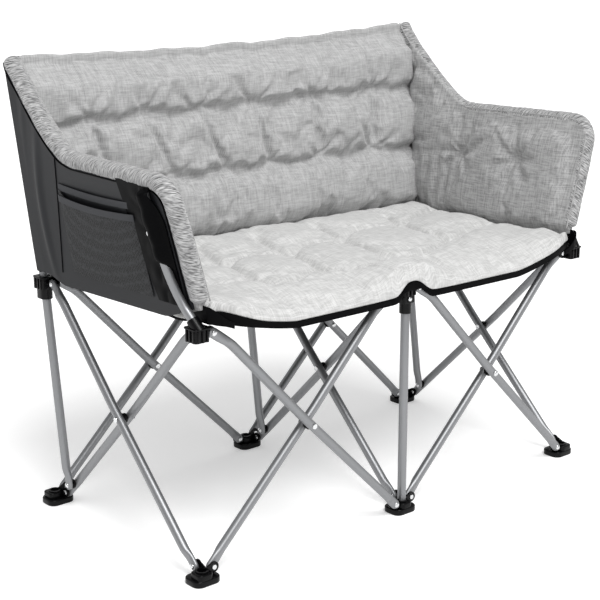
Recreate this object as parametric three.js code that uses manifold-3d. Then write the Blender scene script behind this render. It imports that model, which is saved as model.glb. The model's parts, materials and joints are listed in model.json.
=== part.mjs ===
// Folding camping loveseat: six feet, six slotted hubs and seven scissor pairs carry a padded fabric body.
// Millimetres, +Z up, +Y to the back. The origin lies on the floor under the middle of the whole sofa.
import * as THREE from "three";
import { mergeVertices } from "three/addons/utils/BufferGeometryUtils.js";
import Module from "manifold-3d";

const wasm = await Module();
wasm.setup();

// Frame grid: hubs stand straight above the feet, and both bays are square
const bayWidth = 460;
const bayDepth = 460;
const footPinHeight = 22;
const hubPinHeight = 425;
const pinInset = 24;

// Clearances between pieces
const clearance = 0.3;
const overrun = 5;
const fuse = 0.6;

// Leg tubes with flattened, rounded ends and a slight neck below the hub
const tubeRadius = 8;
const endRadius = 9;
const endThickness = 11;
const endFlatLength = 14;
const endTaper = 18;
const neckLength = 42;
const neckRise = 6.5;
const neckBlend = 12;
const tubeSides = 8;
const tipShares = [0.35, 1];

// Rivets
const shankRadius = 2.4;
const holeRadius = 2.7;
const headRadius = 5;
const headHeight = 2.2;
const tailRadius = 4.5;
const tailHeight = 1.8;
const rivetSides = 8;
const rodSides = 12;
const pathSides = 10;
const cornerSegments = 3;
const flatTolerance = 0.02;
const domeShares = [0, 0.5, 1];

// Lugs on hubs and feet, and the plastic spacer between crossing tubes
const lugThickness = 3.4;
const lugRadius = 9.5;
const spacerRadius = 9;
const saddleHeight = 3.6;

// Moulded hub
const hubCore = 28;
const hubCoreCorner = 4;
const hubCoreDrop = 12;
const hubPlateWidth = 34;
const hubPlateCorner = 6;
const hubPlateGap = 9;
const hubPlateThickness = 3;
const hubRibWidth = 5;
const hubRibPitch = 9;
const hubRibDepth = 2;
const collarRadius = 10.8;
const collarLength = 18;
const guideRear = 19;
const guideWall = 2.4;
const guideSlack = 4.4;

// Moulded foot
const footLength = 58;
const footWidth = 46;
const footCorner = 15;
const footThickness = 11;
const footShift = 4;
const footBlockNear = 13.5;
const footBlockFar = 21;
const footBlockCorner = 7;
const socketBore = 8.3;
const socketTop = 22;
const socketFloor = 6;

// Upright posts, whose tops are given above the hub pins
const frontPostRise = 7;
const backPostRise = 401;
const backRivetDistance = 36;

// Arm tubes, with heights above the hub pins
const armRadius = 7.5;
const armSocketRadius = 10.3;
const armSocketLength = 16;
const armSocketRoot = 7;
const armTubeSteps = 9;
const armSleeveSteps = 5;
const armTubeShares = [0.004, 0.998];
const armSleeveShares = [0.42, 1];
const armBoreShares = [0.3, 1];
const armRootOut = 4;
const armRootFront = 6;
const armNeck = { out: 11, back: 18, up: 42 };
const armStraightShare = 0.6;
const armRises = [75, 115, 175, 225, 243];
const armSetbacks = [33, 43, 50, 53, 54];

// Seat sheets and pads, with heights above the hub pins
const sheet = 3;
const sheetGap = 0.4;
const seatFrontOverhang = 26;
const seatSideRoom = 18;
const seatHubLift = 1.2;
const seatFrontRise = -18;
const seatMiddleRise = 4;
const seatBackRise = 12;
const seatRollDepth = 100;
const hubPlateau = 36;
const hubFall = 48;
const centreFall = 70;
const cornerFall = 150;
const hubTaut = 1.25;
const cornerPull = 18;
const cornerReach = 75;
const cornerDepth = 50;
const hemHeight = 8;
const hemDepth = 24;
const seatPadEdge = 10;
const seatPadCrown = 18;
const seatPinch = 44;
const tuftRadius = 42;
const seatTuftDepth = 9;
const seatTuftXShares = [0.2, 0.55];
const seatTuftYShares = [0.243, 0.57];
const seatSplitShare = 0.5;
const seatGapShares = [0.45, 0.9];
const seatRowShares = [0.37, 0.7];

// Back pad and back sheet, with heights above the hub pins
const backBottomRise = 27;
const backTopRise = 413;
const backTopSag = 12;
const backPadEdge = 10;
const backPadCrown = 34;
const backPinch = 42;
const backSheetRise = 21;
const sleeveWall = 2;
const sleeveSlack = 1;
const backChannelRises = [287, 167];
const channelHalf = 20;
const channelDepth = 17;
const seamHalf = 24;
const seamDepth = 9;
const upperSeamShares = [-0.774, -0.507, -0.243, 0.052, 0.387, 0.75];
const lowerSeamShares = [-0.696, -0.407, -0.124, 0.117, 0.407, 0.737];
const backColumnShares = [
  0, 0.015, 0.045, 0.09, 0.137, 0.174, 0.22, 0.263, 0.31, 0.35, 0.386, 0.442,
  0.48, 0.524, 0.555, 0.62, 0.685, 0.74, 0.8, 0.848, 0.9, 0.955, 0.985, 1,
];
const backRowShares = [0, 0.03, 0.075, 0.13, 0.22, 0.3, 0.363, 0.425, 0.52, 0.61, 0.674, 0.735, 0.83, 0.9, 0.945, 0.98, 1];

// Side panels, with heights above the hub pins
const sideFrontIn = 1;
const sideFrontRise = 45;
const sideFrontLean = 0.285;
const sideBackOut = 14;
const sideBackLean = 0.046;
const sideFront = -12;
const sideBottomRise = 25;
const sideBottomFrontRise = 38;
const sideLiftEnd = 0.9;
const armRise = 259;
const sideBackRise = 407;
const sideKinkShare = 0.674;
const sideCurve = 1.3;
const armCornerRadius = 52;
const armCornerDrop = 50;
const sideBackRoom = 16;
const sidePadEdge = 8;
const sidePadCrown = 22;
const sidePinch = 40;
const sideTuftDepth = 12;
const sideTufts = [
  { depthShare: 0.326, rise: 165 },
  { depthShare: 0.652, rise: 161 },
];
const sideColumnShares = [0, 0.08, 0.16, 0.24, 0.36, 0.46, 0.56, 0.65, 0.74, 0.84, 0.94, 1];
const sideSeamShare = -1;
const sideRowShares = [0, 0.07, 0.22, 0.42, 0.62, 0.78, 0.89, 0.95, 1];

// Net pocket on the left side
const pocketColumnShares = [0.24, 0.36, 0.46, 0.56, 0.65, 0.74];
const pocketRowShares = [0.07, 0.22, 0.42, 0.62];
const pocketStand = 16;
const pocketWall = 2;

// Places derived from the sizes above
const legPlane = lugThickness / 2 + clearance + tubeRadius;
const rowY = [0, bayDepth];
const columnX = { left: -bayWidth, centre: 0, right: bayWidth };
const hubPlateTop = hubPinHeight + hubPlateGap + hubPlateThickness;
const collarMiddle = hubPinHeight - (hubCoreDrop + collarLength - hubPlateGap) / 2;
const legRise = hubPinHeight - footPinHeight;
const frontPostTop = hubPinHeight + frontPostRise;
const backPostTop = hubPinHeight + backPostRise;
const backBottom = hubPinHeight + backBottomRise;
const backTop = hubPinHeight + backTopRise;
const backChannels = backChannelRises.map((rise) => hubPinHeight + rise);
const upperSeams = upperSeamShares.map((share) => bayWidth * share);
const lowerSeams = lowerSeamShares.map((share) => bayWidth * share);
const seatHalfWidth = bayWidth - seatSideRoom;
const seatSplit = bayDepth * seatSplitShare;
const seatTuftX = seatTuftXShares.map((share) => bayWidth * share);
const seatTuftY = seatTuftYShares.map((share) => bayDepth * share);
const sideBackX = bayWidth + sideBackOut;
const sideBottom = hubPinHeight + sideBottomRise;
const armTop = hubPinHeight + armRise;
const sideBackTop = hubPinHeight + sideBackRise;
const sideKink = bayDepth * sideKinkShare;
const depthRun = bayDepth - 2 * pinInset;
const depthLeg = Math.hypot(depthRun, legRise);
const rivetBack = bayDepth - pinInset - (backRivetDistance * depthRun) / depthLeg;
const rivetHeight = footPinHeight + (backRivetDistance * legRise) / depthLeg;
const postSlope = (bayDepth - rivetBack) / (collarMiddle - rivetHeight);
const seatBack = backSheetFront(backBottom) - backPadEdge - 4 * sheetGap;

const X = new THREE.Vector3(1, 0, 0);
const Y = new THREE.Vector3(0, 1, 0);
const Z = new THREE.Vector3(0, 0, 1);

// Finishes
const finishes = {
  steel: { color: 0x8d8f92, roughness: 0.38, metalness: 0.85 },
  rivet: { color: 0xc9cbce, roughness: 0.25, metalness: 1 },
  plastic: { color: 0x141415, roughness: 0.3, metalness: 0 },
  shell: { color: 0x2b2c2e, roughness: 0.85, metalness: 0 },
  linen: { color: 0x9b9b9b, roughness: 0.95, metalness: 0 },
  plush: { color: 0xc9c9c7, roughness: 1, metalness: 0 },
  melange: { color: 0x8b8b8b, roughness: 0.95, metalness: 0 },
  net: { color: 0x101011, roughness: 0.9, metalness: 0 },
};

// Closed solids from three.js geometry, joined and cut
function solidFrom(geometry) {
  const bare = geometry.clone();
  for (const name of Object.keys(bare.attributes)) {
    if (name !== "position") bare.deleteAttribute(name);
  }
  const merged = mergeVertices(bare, 1e-4);
  const corners = merged.index.array;
  const kept = [];
  for (let i = 0; i < corners.length; i += 3) {
    const [a, b, c] = [corners[i], corners[i + 1], corners[i + 2]];
    if (a !== b && b !== c && a !== c) kept.push(a, b, c);
  }
  const build = (triangles) =>
    new wasm.Manifold(
      new wasm.Mesh({
        numProp: 3,
        vertProperties: merged.attributes.position.array,
        triVerts: new Uint32Array(triangles),
      }),
    );
  const solid = build(kept);
  if (solid.volume() > 0) return solid;
  for (let i = 0; i < kept.length; i += 3) [kept[i + 1], kept[i + 2]] = [kept[i + 2], kept[i + 1]];
  return build(kept);
}

function geometryFrom(solid) {
  const mesh = solid.simplify(flatTolerance).getMesh();
  const geometry = new THREE.BufferGeometry();
  geometry.setAttribute("position", new THREE.BufferAttribute(mesh.vertProperties, 3));
  geometry.setIndex(new THREE.BufferAttribute(mesh.triVerts, 1));
  geometry.computeVertexNormals();
  return geometry;
}

function join(pieces, cuts = []) {
  let solid = solidFrom(pieces[0]);
  for (const piece of pieces.slice(1)) solid = solid.add(solidFrom(piece));
  for (const cut of cuts) solid = solid.subtract(solidFrom(cut));
  return geometryFrom(solid);
}

// Basic forms
function slab(shape, thickness, origin, along, up) {
  const geometry = new THREE.ExtrudeGeometry(shape, {
    depth: thickness,
    bevelEnabled: false,
    curveSegments: cornerSegments,
  });
  geometry.translate(0, 0, -thickness / 2);
  const across = new THREE.Vector3().crossVectors(along, up);
  geometry.applyMatrix4(new THREE.Matrix4().makeBasis(along, up, across).setPosition(origin));
  return geometry;
}

function roundedRectangle(width, depth, corner) {
  const [w, d] = [width / 2, depth / 2];
  const shape = new THREE.Shape();
  shape.moveTo(-w + corner, -d);
  shape.lineTo(w - corner, -d);
  shape.absarc(w - corner, -d + corner, corner, -Math.PI / 2, 0);
  shape.lineTo(w, d - corner);
  shape.absarc(w - corner, d - corner, corner, 0, Math.PI / 2);
  shape.lineTo(-w + corner, d);
  shape.absarc(-w + corner, d - corner, corner, Math.PI / 2, Math.PI);
  shape.lineTo(-w, -d + corner);
  shape.absarc(-w + corner, -d + corner, corner, Math.PI, Math.PI * 1.5);
  return shape;
}

function plate(width, depth, corner, low, high, shiftY = 0) {
  const middle = new THREE.Vector3(0, shiftY, (low + high) / 2);
  return slab(roundedRectangle(width, depth, corner), high - low, middle, X, Y);
}

function block(low, high) {
  const size = new THREE.Vector3().subVectors(high, low);
  const geometry = new THREE.BoxGeometry(size.x, size.y, size.z);
  geometry.translate((low.x + high.x) / 2, (low.y + high.y) / 2, (low.z + high.z) / 2);
  return geometry;
}

function rod(radius, from, to, sides = rodSides) {
  const axis = new THREE.Vector3().subVectors(to, from);
  const geometry = new THREE.CylinderGeometry(radius, radius, axis.length(), sides);
  geometry.translate(0, axis.length() / 2, 0);
  return turned(geometry, from, axis.normalize());
}

function turned(geometry, origin, axis) {
  geometry.applyQuaternion(new THREE.Quaternion().setFromUnitVectors(Y, axis));
  geometry.translate(origin.x, origin.y, origin.z);
  return geometry;
}

// A closed solid lofted through rings of equal count
function loft(rings) {
  const count = rings[0].length;
  const points = [];
  for (const ring of rings) for (const p of ring) points.push(p.x, p.y, p.z);
  const index = [];
  for (let r = 0; r + 1 < rings.length; r++) {
    for (let i = 0; i < count; i++) {
      const j = (i + 1) % count;
      const [a, b, c, d] = [r * count + i, r * count + j, (r + 1) * count + j, (r + 1) * count + i];
      index.push(a, b, c, a, c, d);
    }
  }
  const last = (rings.length - 1) * count;
  for (let i = 1; i + 1 < count; i++) {
    index.push(0, i + 1, i);
    index.push(last, last + i, last + i + 1);
  }
  const geometry = new THREE.BufferGeometry();
  geometry.setAttribute("position", new THREE.Float32BufferAttribute(points, 3));
  geometry.setIndex(index);
  return geometry;
}

// A closed solid between two faces over the same grid of values
function gridSolid(columns, rows, front, back) {
  const [m, n] = [columns.length, rows.length];
  const points = [];
  for (const face of [front, back]) {
    for (const row of rows) {
      for (const column of columns) {
        const p = face(column, row);
        points.push(p.x, p.y, p.z);
      }
    }
  }
  const index = [];
  const quad = (a, b, c, d) => index.push(a, b, c, a, c, d);
  const size = m * n;
  for (let r = 0; r + 1 < n; r++) {
    for (let c = 0; c + 1 < m; c++) {
      const a = r * m + c;
      quad(a, a + 1, a + m + 1, a + m);
      index.push(size + a, size + a + m + 1, size + a + 1, size + a, size + a + m, size + a + m + 1);
    }
  }
  for (let c = 0; c + 1 < m; c++) {
    const top = (n - 1) * m + c;
    quad(c + 1, c, size + c, size + c + 1);
    quad(top, top + 1, size + top + 1, size + top);
  }
  for (let r = 0; r + 1 < n; r++) {
    const left = r * m;
    const right = r * m + m - 1;
    quad(left, left + m, size + left + m, size + left);
    quad(right + m, right, size + right, size + right + m);
  }
  const geometry = new THREE.BufferGeometry();
  geometry.setAttribute("position", new THREE.Float32BufferAttribute(points, 3));
  geometry.setIndex(index);
  return geometry;
}

const mix = (a, b, share) => a + (b - a) * share;
const clamp = (value) => Math.min(1, Math.max(0, value));
const swell = (value) => Math.sin((clamp(value) * Math.PI) / 2) ** 2;
const dent = (distance, half) => Math.exp(-((distance / half) ** 2));
const evenShares = (steps) => Array.from({ length: steps + 1 }, (_, i) => i / steps);

// Rivets: a domed head, a shank and a flat or domed tail on one axis
function rivet(origin, axis, tailAt, headAt) {
  const profile = [new THREE.Vector2(0, tailAt - tailHeight)];
  profile.push(new THREE.Vector2(tailRadius, tailAt));
  profile.push(new THREE.Vector2(shankRadius, tailAt));
  profile.push(new THREE.Vector2(shankRadius, headAt));
  for (const share of domeShares) {
    const angle = (share * Math.PI) / 2;
    profile.push(new THREE.Vector2(headRadius * Math.cos(angle), headAt + headHeight * Math.sin(angle)));
  }
  profile[profile.length - 1].x = 0;
  return turned(new THREE.LatheGeometry(profile, rivetSides), origin, axis);
}

// Tube stations: distance along the tube, half width, half thickness, offset towards the lug, rise
function endStations(distanceOf, riseOf) {
  const half = endThickness / 2;
  const shift = half - tubeRadius;
  const flat = { thick: half, shift };
  const list = tipShares.map((share) => {
    const angle = (share * Math.PI) / 2;
    return { at: distanceOf(-endRadius * Math.cos(angle)), wide: endRadius * Math.sin(angle), ...flat };
  });
  list.push({ at: distanceOf(endFlatLength), wide: endRadius, ...flat });
  list.push({ at: distanceOf(endFlatLength + endTaper), wide: tubeRadius, thick: tubeRadius, shift: 0 });
  for (const station of list) station.rise = riseOf(station.at);
  return list;
}

function tubeRing(station, start, along, up, outward) {
  const centre = start.clone().addScaledVector(along, station.at).addScaledVector(up, station.rise);
  centre.addScaledVector(outward, station.shift);
  const ring = [];
  for (let i = 0; i < tubeSides; i++) {
    const angle = (i * 2 * Math.PI) / tubeSides;
    const p = centre.clone().addScaledVector(up, station.wide * Math.cos(angle));
    ring.push(p.addScaledVector(outward, station.thick * Math.sin(angle)));
  }
  return ring;
}

// One leg tube from its foot pin to its hub pin; outward points away from the lugs that it lies on
function legTube(footPin, hubPin, outward, holes) {
  const along = new THREE.Vector3().subVectors(hubPin, footPin);
  const length = along.length();
  along.normalize();
  const up = new THREE.Vector3().crossVectors(outward, along);
  if (up.z < 0) up.negate();
  const peak = length - neckLength;
  const riseStart = length / 2 + 2 * spacerRadius;
  const riseOf = (at) => {
    if (at < riseStart) return 0;
    if (at < peak) return (neckRise * (at - riseStart)) / (peak - riseStart);
    return (neckRise * (length - at)) / neckLength;
  };
  const neck = [-1, 1].map((side) => ({
    at: peak + side * neckBlend,
    wide: tubeRadius,
    thick: tubeRadius,
    shift: 0,
    rise: riseOf(peak + side * neckBlend),
  }));
  const stations = [
    ...endStations((value) => value, riseOf),
    { at: riseStart, wide: tubeRadius, thick: tubeRadius, shift: 0, rise: 0 },
    ...neck,
    ...endStations((value) => length - value, riseOf).reverse(),
  ];
  const rings = stations.map((station) => tubeRing(station, footPin, along, up, outward));
  const tailAt = -tubeRadius - clearance - lugThickness - clearance;
  const headAt = endThickness - tubeRadius - fuse;
  const rivets = [footPin, hubPin].map((pin) => rivet(pin, outward, tailAt, headAt));
  const bores = holes.map((at) => {
    const middle = footPin.clone().addScaledVector(along, at);
    const reach = tubeRadius + overrun;
    const from = middle.clone().addScaledVector(outward, -reach);
    return rod(holeRadius, from, middle.clone().addScaledVector(outward, reach), rivetSides);
  });
  return join([loft(rings), ...rivets], bores);
}

// A round spacer that saddles the crown of one tube; axis points from that tube to the other
function spacer(centre, axis, tubeAlong, saddled) {
  const low = -lugThickness / 2 - (saddled ? saddleHeight : 0);
  const high = lugThickness / 2;
  const profile = [
    new THREE.Vector2(holeRadius, low),
    new THREE.Vector2(spacerRadius, low),
    new THREE.Vector2(spacerRadius, high),
    new THREE.Vector2(holeRadius, high),
    new THREE.Vector2(holeRadius, low),
  ];
  const ring = turned(new THREE.LatheGeometry(profile, rodSides), centre, axis);
  if (!saddled) return ring;
  const middle = centre.clone().addScaledVector(axis, -legPlane);
  const reach = spacerRadius + overrun;
  const from = middle.clone().addScaledVector(tubeAlong, -reach);
  const groove = rod(tubeRadius + 2 * clearance, from, middle.clone().addScaledVector(tubeAlong, reach));
  return join([ring], [groove]);
}

// Foot lug outline: an ear with a round eye at the pin, sloping down to the socket
function lugShape(low, high) {
  const shape = new THREE.Shape();
  shape.moveTo(0, low);
  shape.lineTo(pinInset, low);
  shape.lineTo(pinInset + lugRadius, Math.max(low, 0));
  shape.absarc(pinInset, 0, lugRadius, 0, Math.PI / 2);
  shape.lineTo(0, high);
  return shape;
}

function roundLugShape(high) {
  const shape = new THREE.Shape();
  shape.moveTo(0, -lugRadius);
  shape.lineTo(pinInset, -lugRadius);
  shape.absarc(pinInset, 0, lugRadius, -Math.PI / 2, Math.PI / 2);
  shape.lineTo(0, high);
  return shape;
}

// The lugs of a hub or foot lie in the mid plane for the long rows and beside the centre for the depth rows
function lugPlane(direction) {
  const shift = direction.y === 0 ? 0 : legPlane;
  return new THREE.Vector3(shift, 0, 0);
}

function lug(shape, direction, height) {
  const origin = lugPlane(direction);
  origin.z = height;
  return slab(shape, lugThickness, origin, direction, Z);
}

function lugBore(direction, height) {
  const across = new THREE.Vector3().crossVectors(direction, Z);
  const pin = lugPlane(direction).addScaledVector(direction, pinInset);
  pin.z = height;
  const from = pin.clone().addScaledVector(across, -lugThickness);
  return rod(holeRadius, from, pin.clone().addScaledVector(across, lugThickness), rivetSides);
}

// Arm tube centre line on one side, from the hub socket up along the outer face of the side panel
function armPath(sign) {
  const points = [new THREE.Vector3(bayWidth + armRootOut, -armRootFront, hubPlateTop)];
  const neck = new THREE.Vector3(bayWidth + armNeck.out, armNeck.back, hubPinHeight + armNeck.up);
  points.push(points[0].clone().lerp(neck, armStraightShare), neck);
  armRises.forEach((rise, i) => {
    const height = hubPinHeight + rise;
    const out = sideFace(armSetbacks[i], height) + sheet + sleeveWall / 2 + armRadius;
    points.push(new THREE.Vector3(out, armSetbacks[i], height));
  });
  for (const p of points) p.x *= sign;
  return points;
}

function armSocketAxis(sign) {
  const [root, straight] = armPath(sign);
  return new THREE.Vector3().subVectors(straight, root).normalize();
}

// Hub, in its own frame with the pin level at zero
function hubGeometry({ lugs, free, post, arm, centreX }) {
  const top = hubPlateGap + hubPlateThickness;
  const rear = post === "back" ? guideRear : hubCore / 2;
  const front = -hubCore / 2;
  const coreDepth = rear - front;
  const pieces = [
    plate(hubCore, coreDepth, hubCoreCorner, -hubCoreDrop, hubPlateGap + fuse, (rear + front) / 2),
    plate(hubPlateWidth, hubPlateWidth, hubPlateCorner, hubPlateGap, top),
  ];
  for (const direction of lugs) pieces.push(lug(roundLugShape(hubPlateGap + fuse), direction, 0));
  const cuts = lugs.map((direction) => lugBore(direction, 0));
  const bottom = new THREE.Vector3(0, 0, -hubCoreDrop - collarLength);
  if (post === "front") {
    pieces.push(rod(collarRadius, bottom, new THREE.Vector3(0, 0, -hubCoreDrop + fuse)));
    const mouth = bottom.clone().addScaledVector(Z, -overrun);
    cuts.push(rod(tubeRadius + clearance, mouth, new THREE.Vector3(0, 0, frontPostTop - hubPinHeight + clearance)));
  }
  if (post === "back") {
    const slope = postSlope * (collarMiddle - hubPinHeight - bottom.z);
    const bore = tubeRadius + clearance + fuse;
    const boreFront = -bore - slope;
    const boreRear = bore + slope + guideSlack;
    const width = 2 * (tubeRadius + clearance + fuse);
    const middle = (boreFront + boreRear) / 2;
    const depth = boreRear - boreFront;
    const wall = 2 * guideWall;
    pieces.push(plate(width + wall, depth + wall, width / 2 + guideWall, bottom.z, -hubCoreDrop + fuse, middle));
    cuts.push(plate(width, depth, width / 2 - fuse, bottom.z - overrun, top + overrun, middle));
  }
  if (arm) {
    const axis = armSocketAxis(arm);
    const root = armPath(arm)[0];
    root.x -= centreX;
    root.z -= hubPinHeight;
    const low = root.clone().addScaledVector(axis, -armSocketRoot);
    const high = root.clone().addScaledVector(axis, armSocketLength);
    pieces.push(rod(armSocketRadius, low, high));
    cuts.push(rod(armRadius + 2 * clearance, root, high.clone().addScaledVector(axis, overrun)));
  }
  for (const direction of free) {
    const across = new THREE.Vector3().crossVectors(Z, direction);
    const face = direction.y > 0 ? rear : hubCore / 2;
    for (const side of [-1, 1]) {
      const middle = across.clone().multiplyScalar((side * hubRibPitch) / 2);
      const inner = middle.clone().addScaledVector(direction, face - hubRibDepth);
      const outer = middle.clone().addScaledVector(direction, face + overrun);
      const half = across.clone().multiplyScalar(hubRibWidth / 2);
      const corners = [inner.clone().add(half), inner.clone().sub(half), outer.clone().add(half), outer.sub(half)];
      const box = new THREE.Box3().setFromPoints(corners);
      box.min.z = -hubCoreDrop - overrun;
      box.max.z = hubPlateGap - hubRibDepth;
      cuts.push(block(box.min, box.max));
    }
  }
  return join(pieces, cuts);
}

// Foot, in its own frame with the floor at zero: a thick base, and a block on the sides without legs
function footGeometry({ lugs, free, deep }) {
  const side = lugs.reduce((sum, direction) => sum + direction.x, 0);
  const base = plate(footLength, footWidth, footCorner, 0, footThickness, deep * footShift);
  base.translate(side * footShift, 0, 0);
  const reach = (x, y) => (free.some((d) => d.x === x && d.y === y) ? footBlockFar : footBlockNear);
  const [west, east, south, north] = [reach(-1, 0), reach(1, 0), reach(0, -1), reach(0, 1)];
  const block = plate(west + east, south + north, footBlockCorner, footThickness - fuse, socketTop, (north - south) / 2);
  block.translate((east - west) / 2, 0, 0);
  const pieces = [base, block];
  const drop = footThickness - fuse - footPinHeight;
  const saddle = socketTop - fuse - footPinHeight;
  for (const direction of lugs) pieces.push(lug(lugShape(drop, saddle), direction, footPinHeight));
  const floor = new THREE.Vector3(0, 0, socketFloor);
  const cuts = [rod(socketBore, floor, new THREE.Vector3(0, 0, footPinHeight + lugRadius + overrun))];
  for (const direction of lugs) cuts.push(lugBore(direction, footPinHeight));
  return join(pieces, cuts);
}

// Straight round post between two points, with domed tips
function plainPost(from, to) {
  const axis = new THREE.Vector3().subVectors(to, from);
  const length = axis.length();
  const profile = [new THREE.Vector2(0, 0)];
  profile.push(new THREE.Vector2(tubeRadius - fuse, 0));
  profile.push(new THREE.Vector2(tubeRadius, fuse));
  profile.push(new THREE.Vector2(tubeRadius, length - fuse));
  profile.push(new THREE.Vector2(tubeRadius - fuse, length));
  profile.push(new THREE.Vector2(0, length));
  return turned(new THREE.LatheGeometry(profile, rodSides), from, axis.normalize());
}

// Back post: riveted to the inner depth leg just above the back foot, leaning back through its hub
function postY(height) {
  return bayDepth + (height - collarMiddle) * postSlope;
}

function backPost(x) {
  const start = new THREE.Vector3(x, rivetBack, rivetHeight);
  const end = new THREE.Vector3(x, postY(backPostTop), backPostTop);
  const along = new THREE.Vector3().subVectors(end, start);
  const length = along.length();
  along.normalize();
  const up = new THREE.Vector3().crossVectors(X, along);
  const outward = X.clone().negate();
  const stations = endStations((value) => value, () => 0);
  for (const share of tipShares.slice().reverse()) {
    const angle = (share * Math.PI) / 2;
    const wide = tubeRadius * Math.sin(angle);
    const at = length - tubeRadius * (1 - Math.cos(angle));
    stations.push({ at, wide, thick: wide, shift: 0, rise: 0 });
  }
  const rings = stations.map((station) => tubeRing(station, start, along, up, outward));
  const tailAt = tubeRadius - 2 * legPlane - 2 * tubeRadius - clearance;
  const headAt = endThickness - tubeRadius - fuse;
  return join([loft(rings), rivet(start, outward, tailAt, headAt)]);
}

// Seat surface: a hammock between the hub tops, lowest along the front edge between hubs
function hubShare(distance, fall) {
  return (1 - clamp((Math.abs(distance) - hubPlateau) / fall)) ** hubTaut;
}

function seatUnderside(x, y) {
  const shareX = Math.max(hubShare(x, centreFall), hubShare(bayWidth - Math.abs(x), cornerFall));
  const shareY = Math.max(hubShare(y, hubFall), hubShare(bayDepth - y, hubFall));
  const roll = swell((y + seatFrontOverhang) / (seatRollDepth + seatFrontOverhang));
  const front = mix(seatFrontRise, seatMiddleRise, roll);
  const base = hubPinHeight + mix(front, seatBackRise, clamp(y / bayDepth));
  return mix(base, hubPlateTop + seatHubLift, shareX * shareY);
}

// The front corners are drawn back to a round outline
function seatPull(x, y) {
  const over = clamp((Math.abs(x) - seatHalfWidth + cornerReach) / cornerReach);
  return cornerPull * over ** 2 * clamp((cornerDepth - y) / (cornerDepth + seatFrontOverhang));
}

function seatSheetTop(x, y) {
  return seatUnderside(x, y) + sheet + hemHeight * (1 - swell((y + seatFrontOverhang) / hemDepth));
}

function seatPadTop(x, y) {
  const edge = Math.min(seatHalfWidth - Math.abs(x), y + seatFrontOverhang, seatBack - y);
  let thick = seatPadEdge + seatPadCrown * swell(edge / seatPinch);
  let tuft = 0;
  for (const tuftX of seatTuftX) {
    for (const tuftY of seatTuftY) tuft = Math.max(tuft, dent(Math.hypot(Math.abs(x) - tuftX, y - tuftY), tuftRadius));
  }
  thick -= seatTuftDepth * tuft;
  return seatSheetTop(x, y) + sheetGap + thick;
}

// Grid lines of the seat run along the edges of the hub plateaus and through the tufts
const centreEdge = hubPlateau + centreFall;
const cornerEdge = bayWidth - hubPlateau - cornerFall;
const hubEdge = bayWidth - hubPlateau;
const seatColumnsHalf = [0, hubPlateau, seatTuftX[0], centreEdge];
for (const share of seatGapShares) seatColumnsHalf.push(mix(centreEdge, seatTuftX[1], share));
seatColumnsHalf.push(cornerEdge, mix(cornerEdge, hubEdge, seatGapShares[0]), hubEdge - cornerPull, hubEdge);
seatColumnsHalf.push(mix(hubEdge, seatHalfWidth, seatGapShares[0]), seatHalfWidth);
seatColumnsHalf.sort((a, b) => a - b);
const seatColumns = [...seatColumnsHalf.slice(1).map((x) => -x).reverse(), ...seatColumnsHalf];
const frontEdge = hubPlateau + hubFall;
const backEdge = bayDepth - hubPlateau;
const seatRowsFront = [-seatFrontOverhang, 0, hubPlateau, mix(hubPlateau, frontEdge, seatGapShares[0])];
seatRowsFront.push(frontEdge, seatTuftY[0], bayDepth * seatRowShares[0], seatSplit);
const seatRowsBack = [seatSplit, seatTuftY[1], bayDepth * seatRowShares[1], backEdge - hubFall];
seatRowsBack.push(mix(backEdge - hubFall, backEdge, seatGapShares[0]), backEdge - sheetGap, seatBack);

function splitRow(y, side) {
  return y === seatSplit ? y + side * sheetGap : y;
}

function seatSheet(rows, side) {
  const top = (x, y) => new THREE.Vector3(x, splitRow(y, side) + seatPull(x, y), seatSheetTop(x, y));
  const under = (x, y) => new THREE.Vector3(x, splitRow(y, side) + seatPull(x, y), seatUnderside(x, y));
  return join([gridSolid(seatColumns, rows, top, under)]);
}

function seatPad(rows, side) {
  const top = (x, y) => new THREE.Vector3(x, splitRow(y, side) + seatPull(x, y), seatPadTop(x, y));
  const under = (x, y) => new THREE.Vector3(x, splitRow(y, side) + seatPull(x, y), seatSheetTop(x, y) + sheetGap);
  return join([gridSolid(seatColumns, rows, top, under)]);
}

// Side panel: a ruled surface that leans outwards, more at the front than at the back
function sideFace(y, height) {
  const share = clamp((postY(sideBottom) - y) / (postY(sideBottom) - sideFront));
  const front = bayWidth - sideFrontIn + (height - hubPinHeight - sideFrontRise) * sideFrontLean;
  const back = sideBackX + (height - sideBottom) * sideBackLean;
  return mix(back, front, share);
}

function backSheetFront(height) {
  return postY(height) - tubeRadius - clearance - sheet;
}

function sideTopAt(y) {
  if (y > sideKink) {
    const run = backSheetFront(sideBackTop) - sideBackRoom - sideKink;
    return armTop + (sideBackTop - armTop) * clamp((y - sideKink) / run) ** sideCurve;
  }
  const corner = clamp((sideFront + armCornerRadius - y) / armCornerRadius);
  return armTop - armCornerDrop * (1 - Math.sqrt(1 - corner ** 2));
}

function sidePoint(share, rise) {
  const backEdge = (height) => backSheetFront(height) - sideBackRoom;
  const topY = mix(backEdge(sideBackTop), sideFront, Math.max(share, 0));
  const top = sideTopAt(topY);
  const lift = clamp((share - sideLiftEnd) / (1 - sideLiftEnd));
  const bottom = hubPinHeight + mix(sideBottomRise, sideBottomFrontRise, lift);
  const z = mix(bottom, top, rise);
  const y = share < 0 ? backSheetFront(z) + sheet : mix(backEdge(z), sideFront, share);
  return { y, z, x: sideFace(y, z), top, bottom };
}

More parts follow.
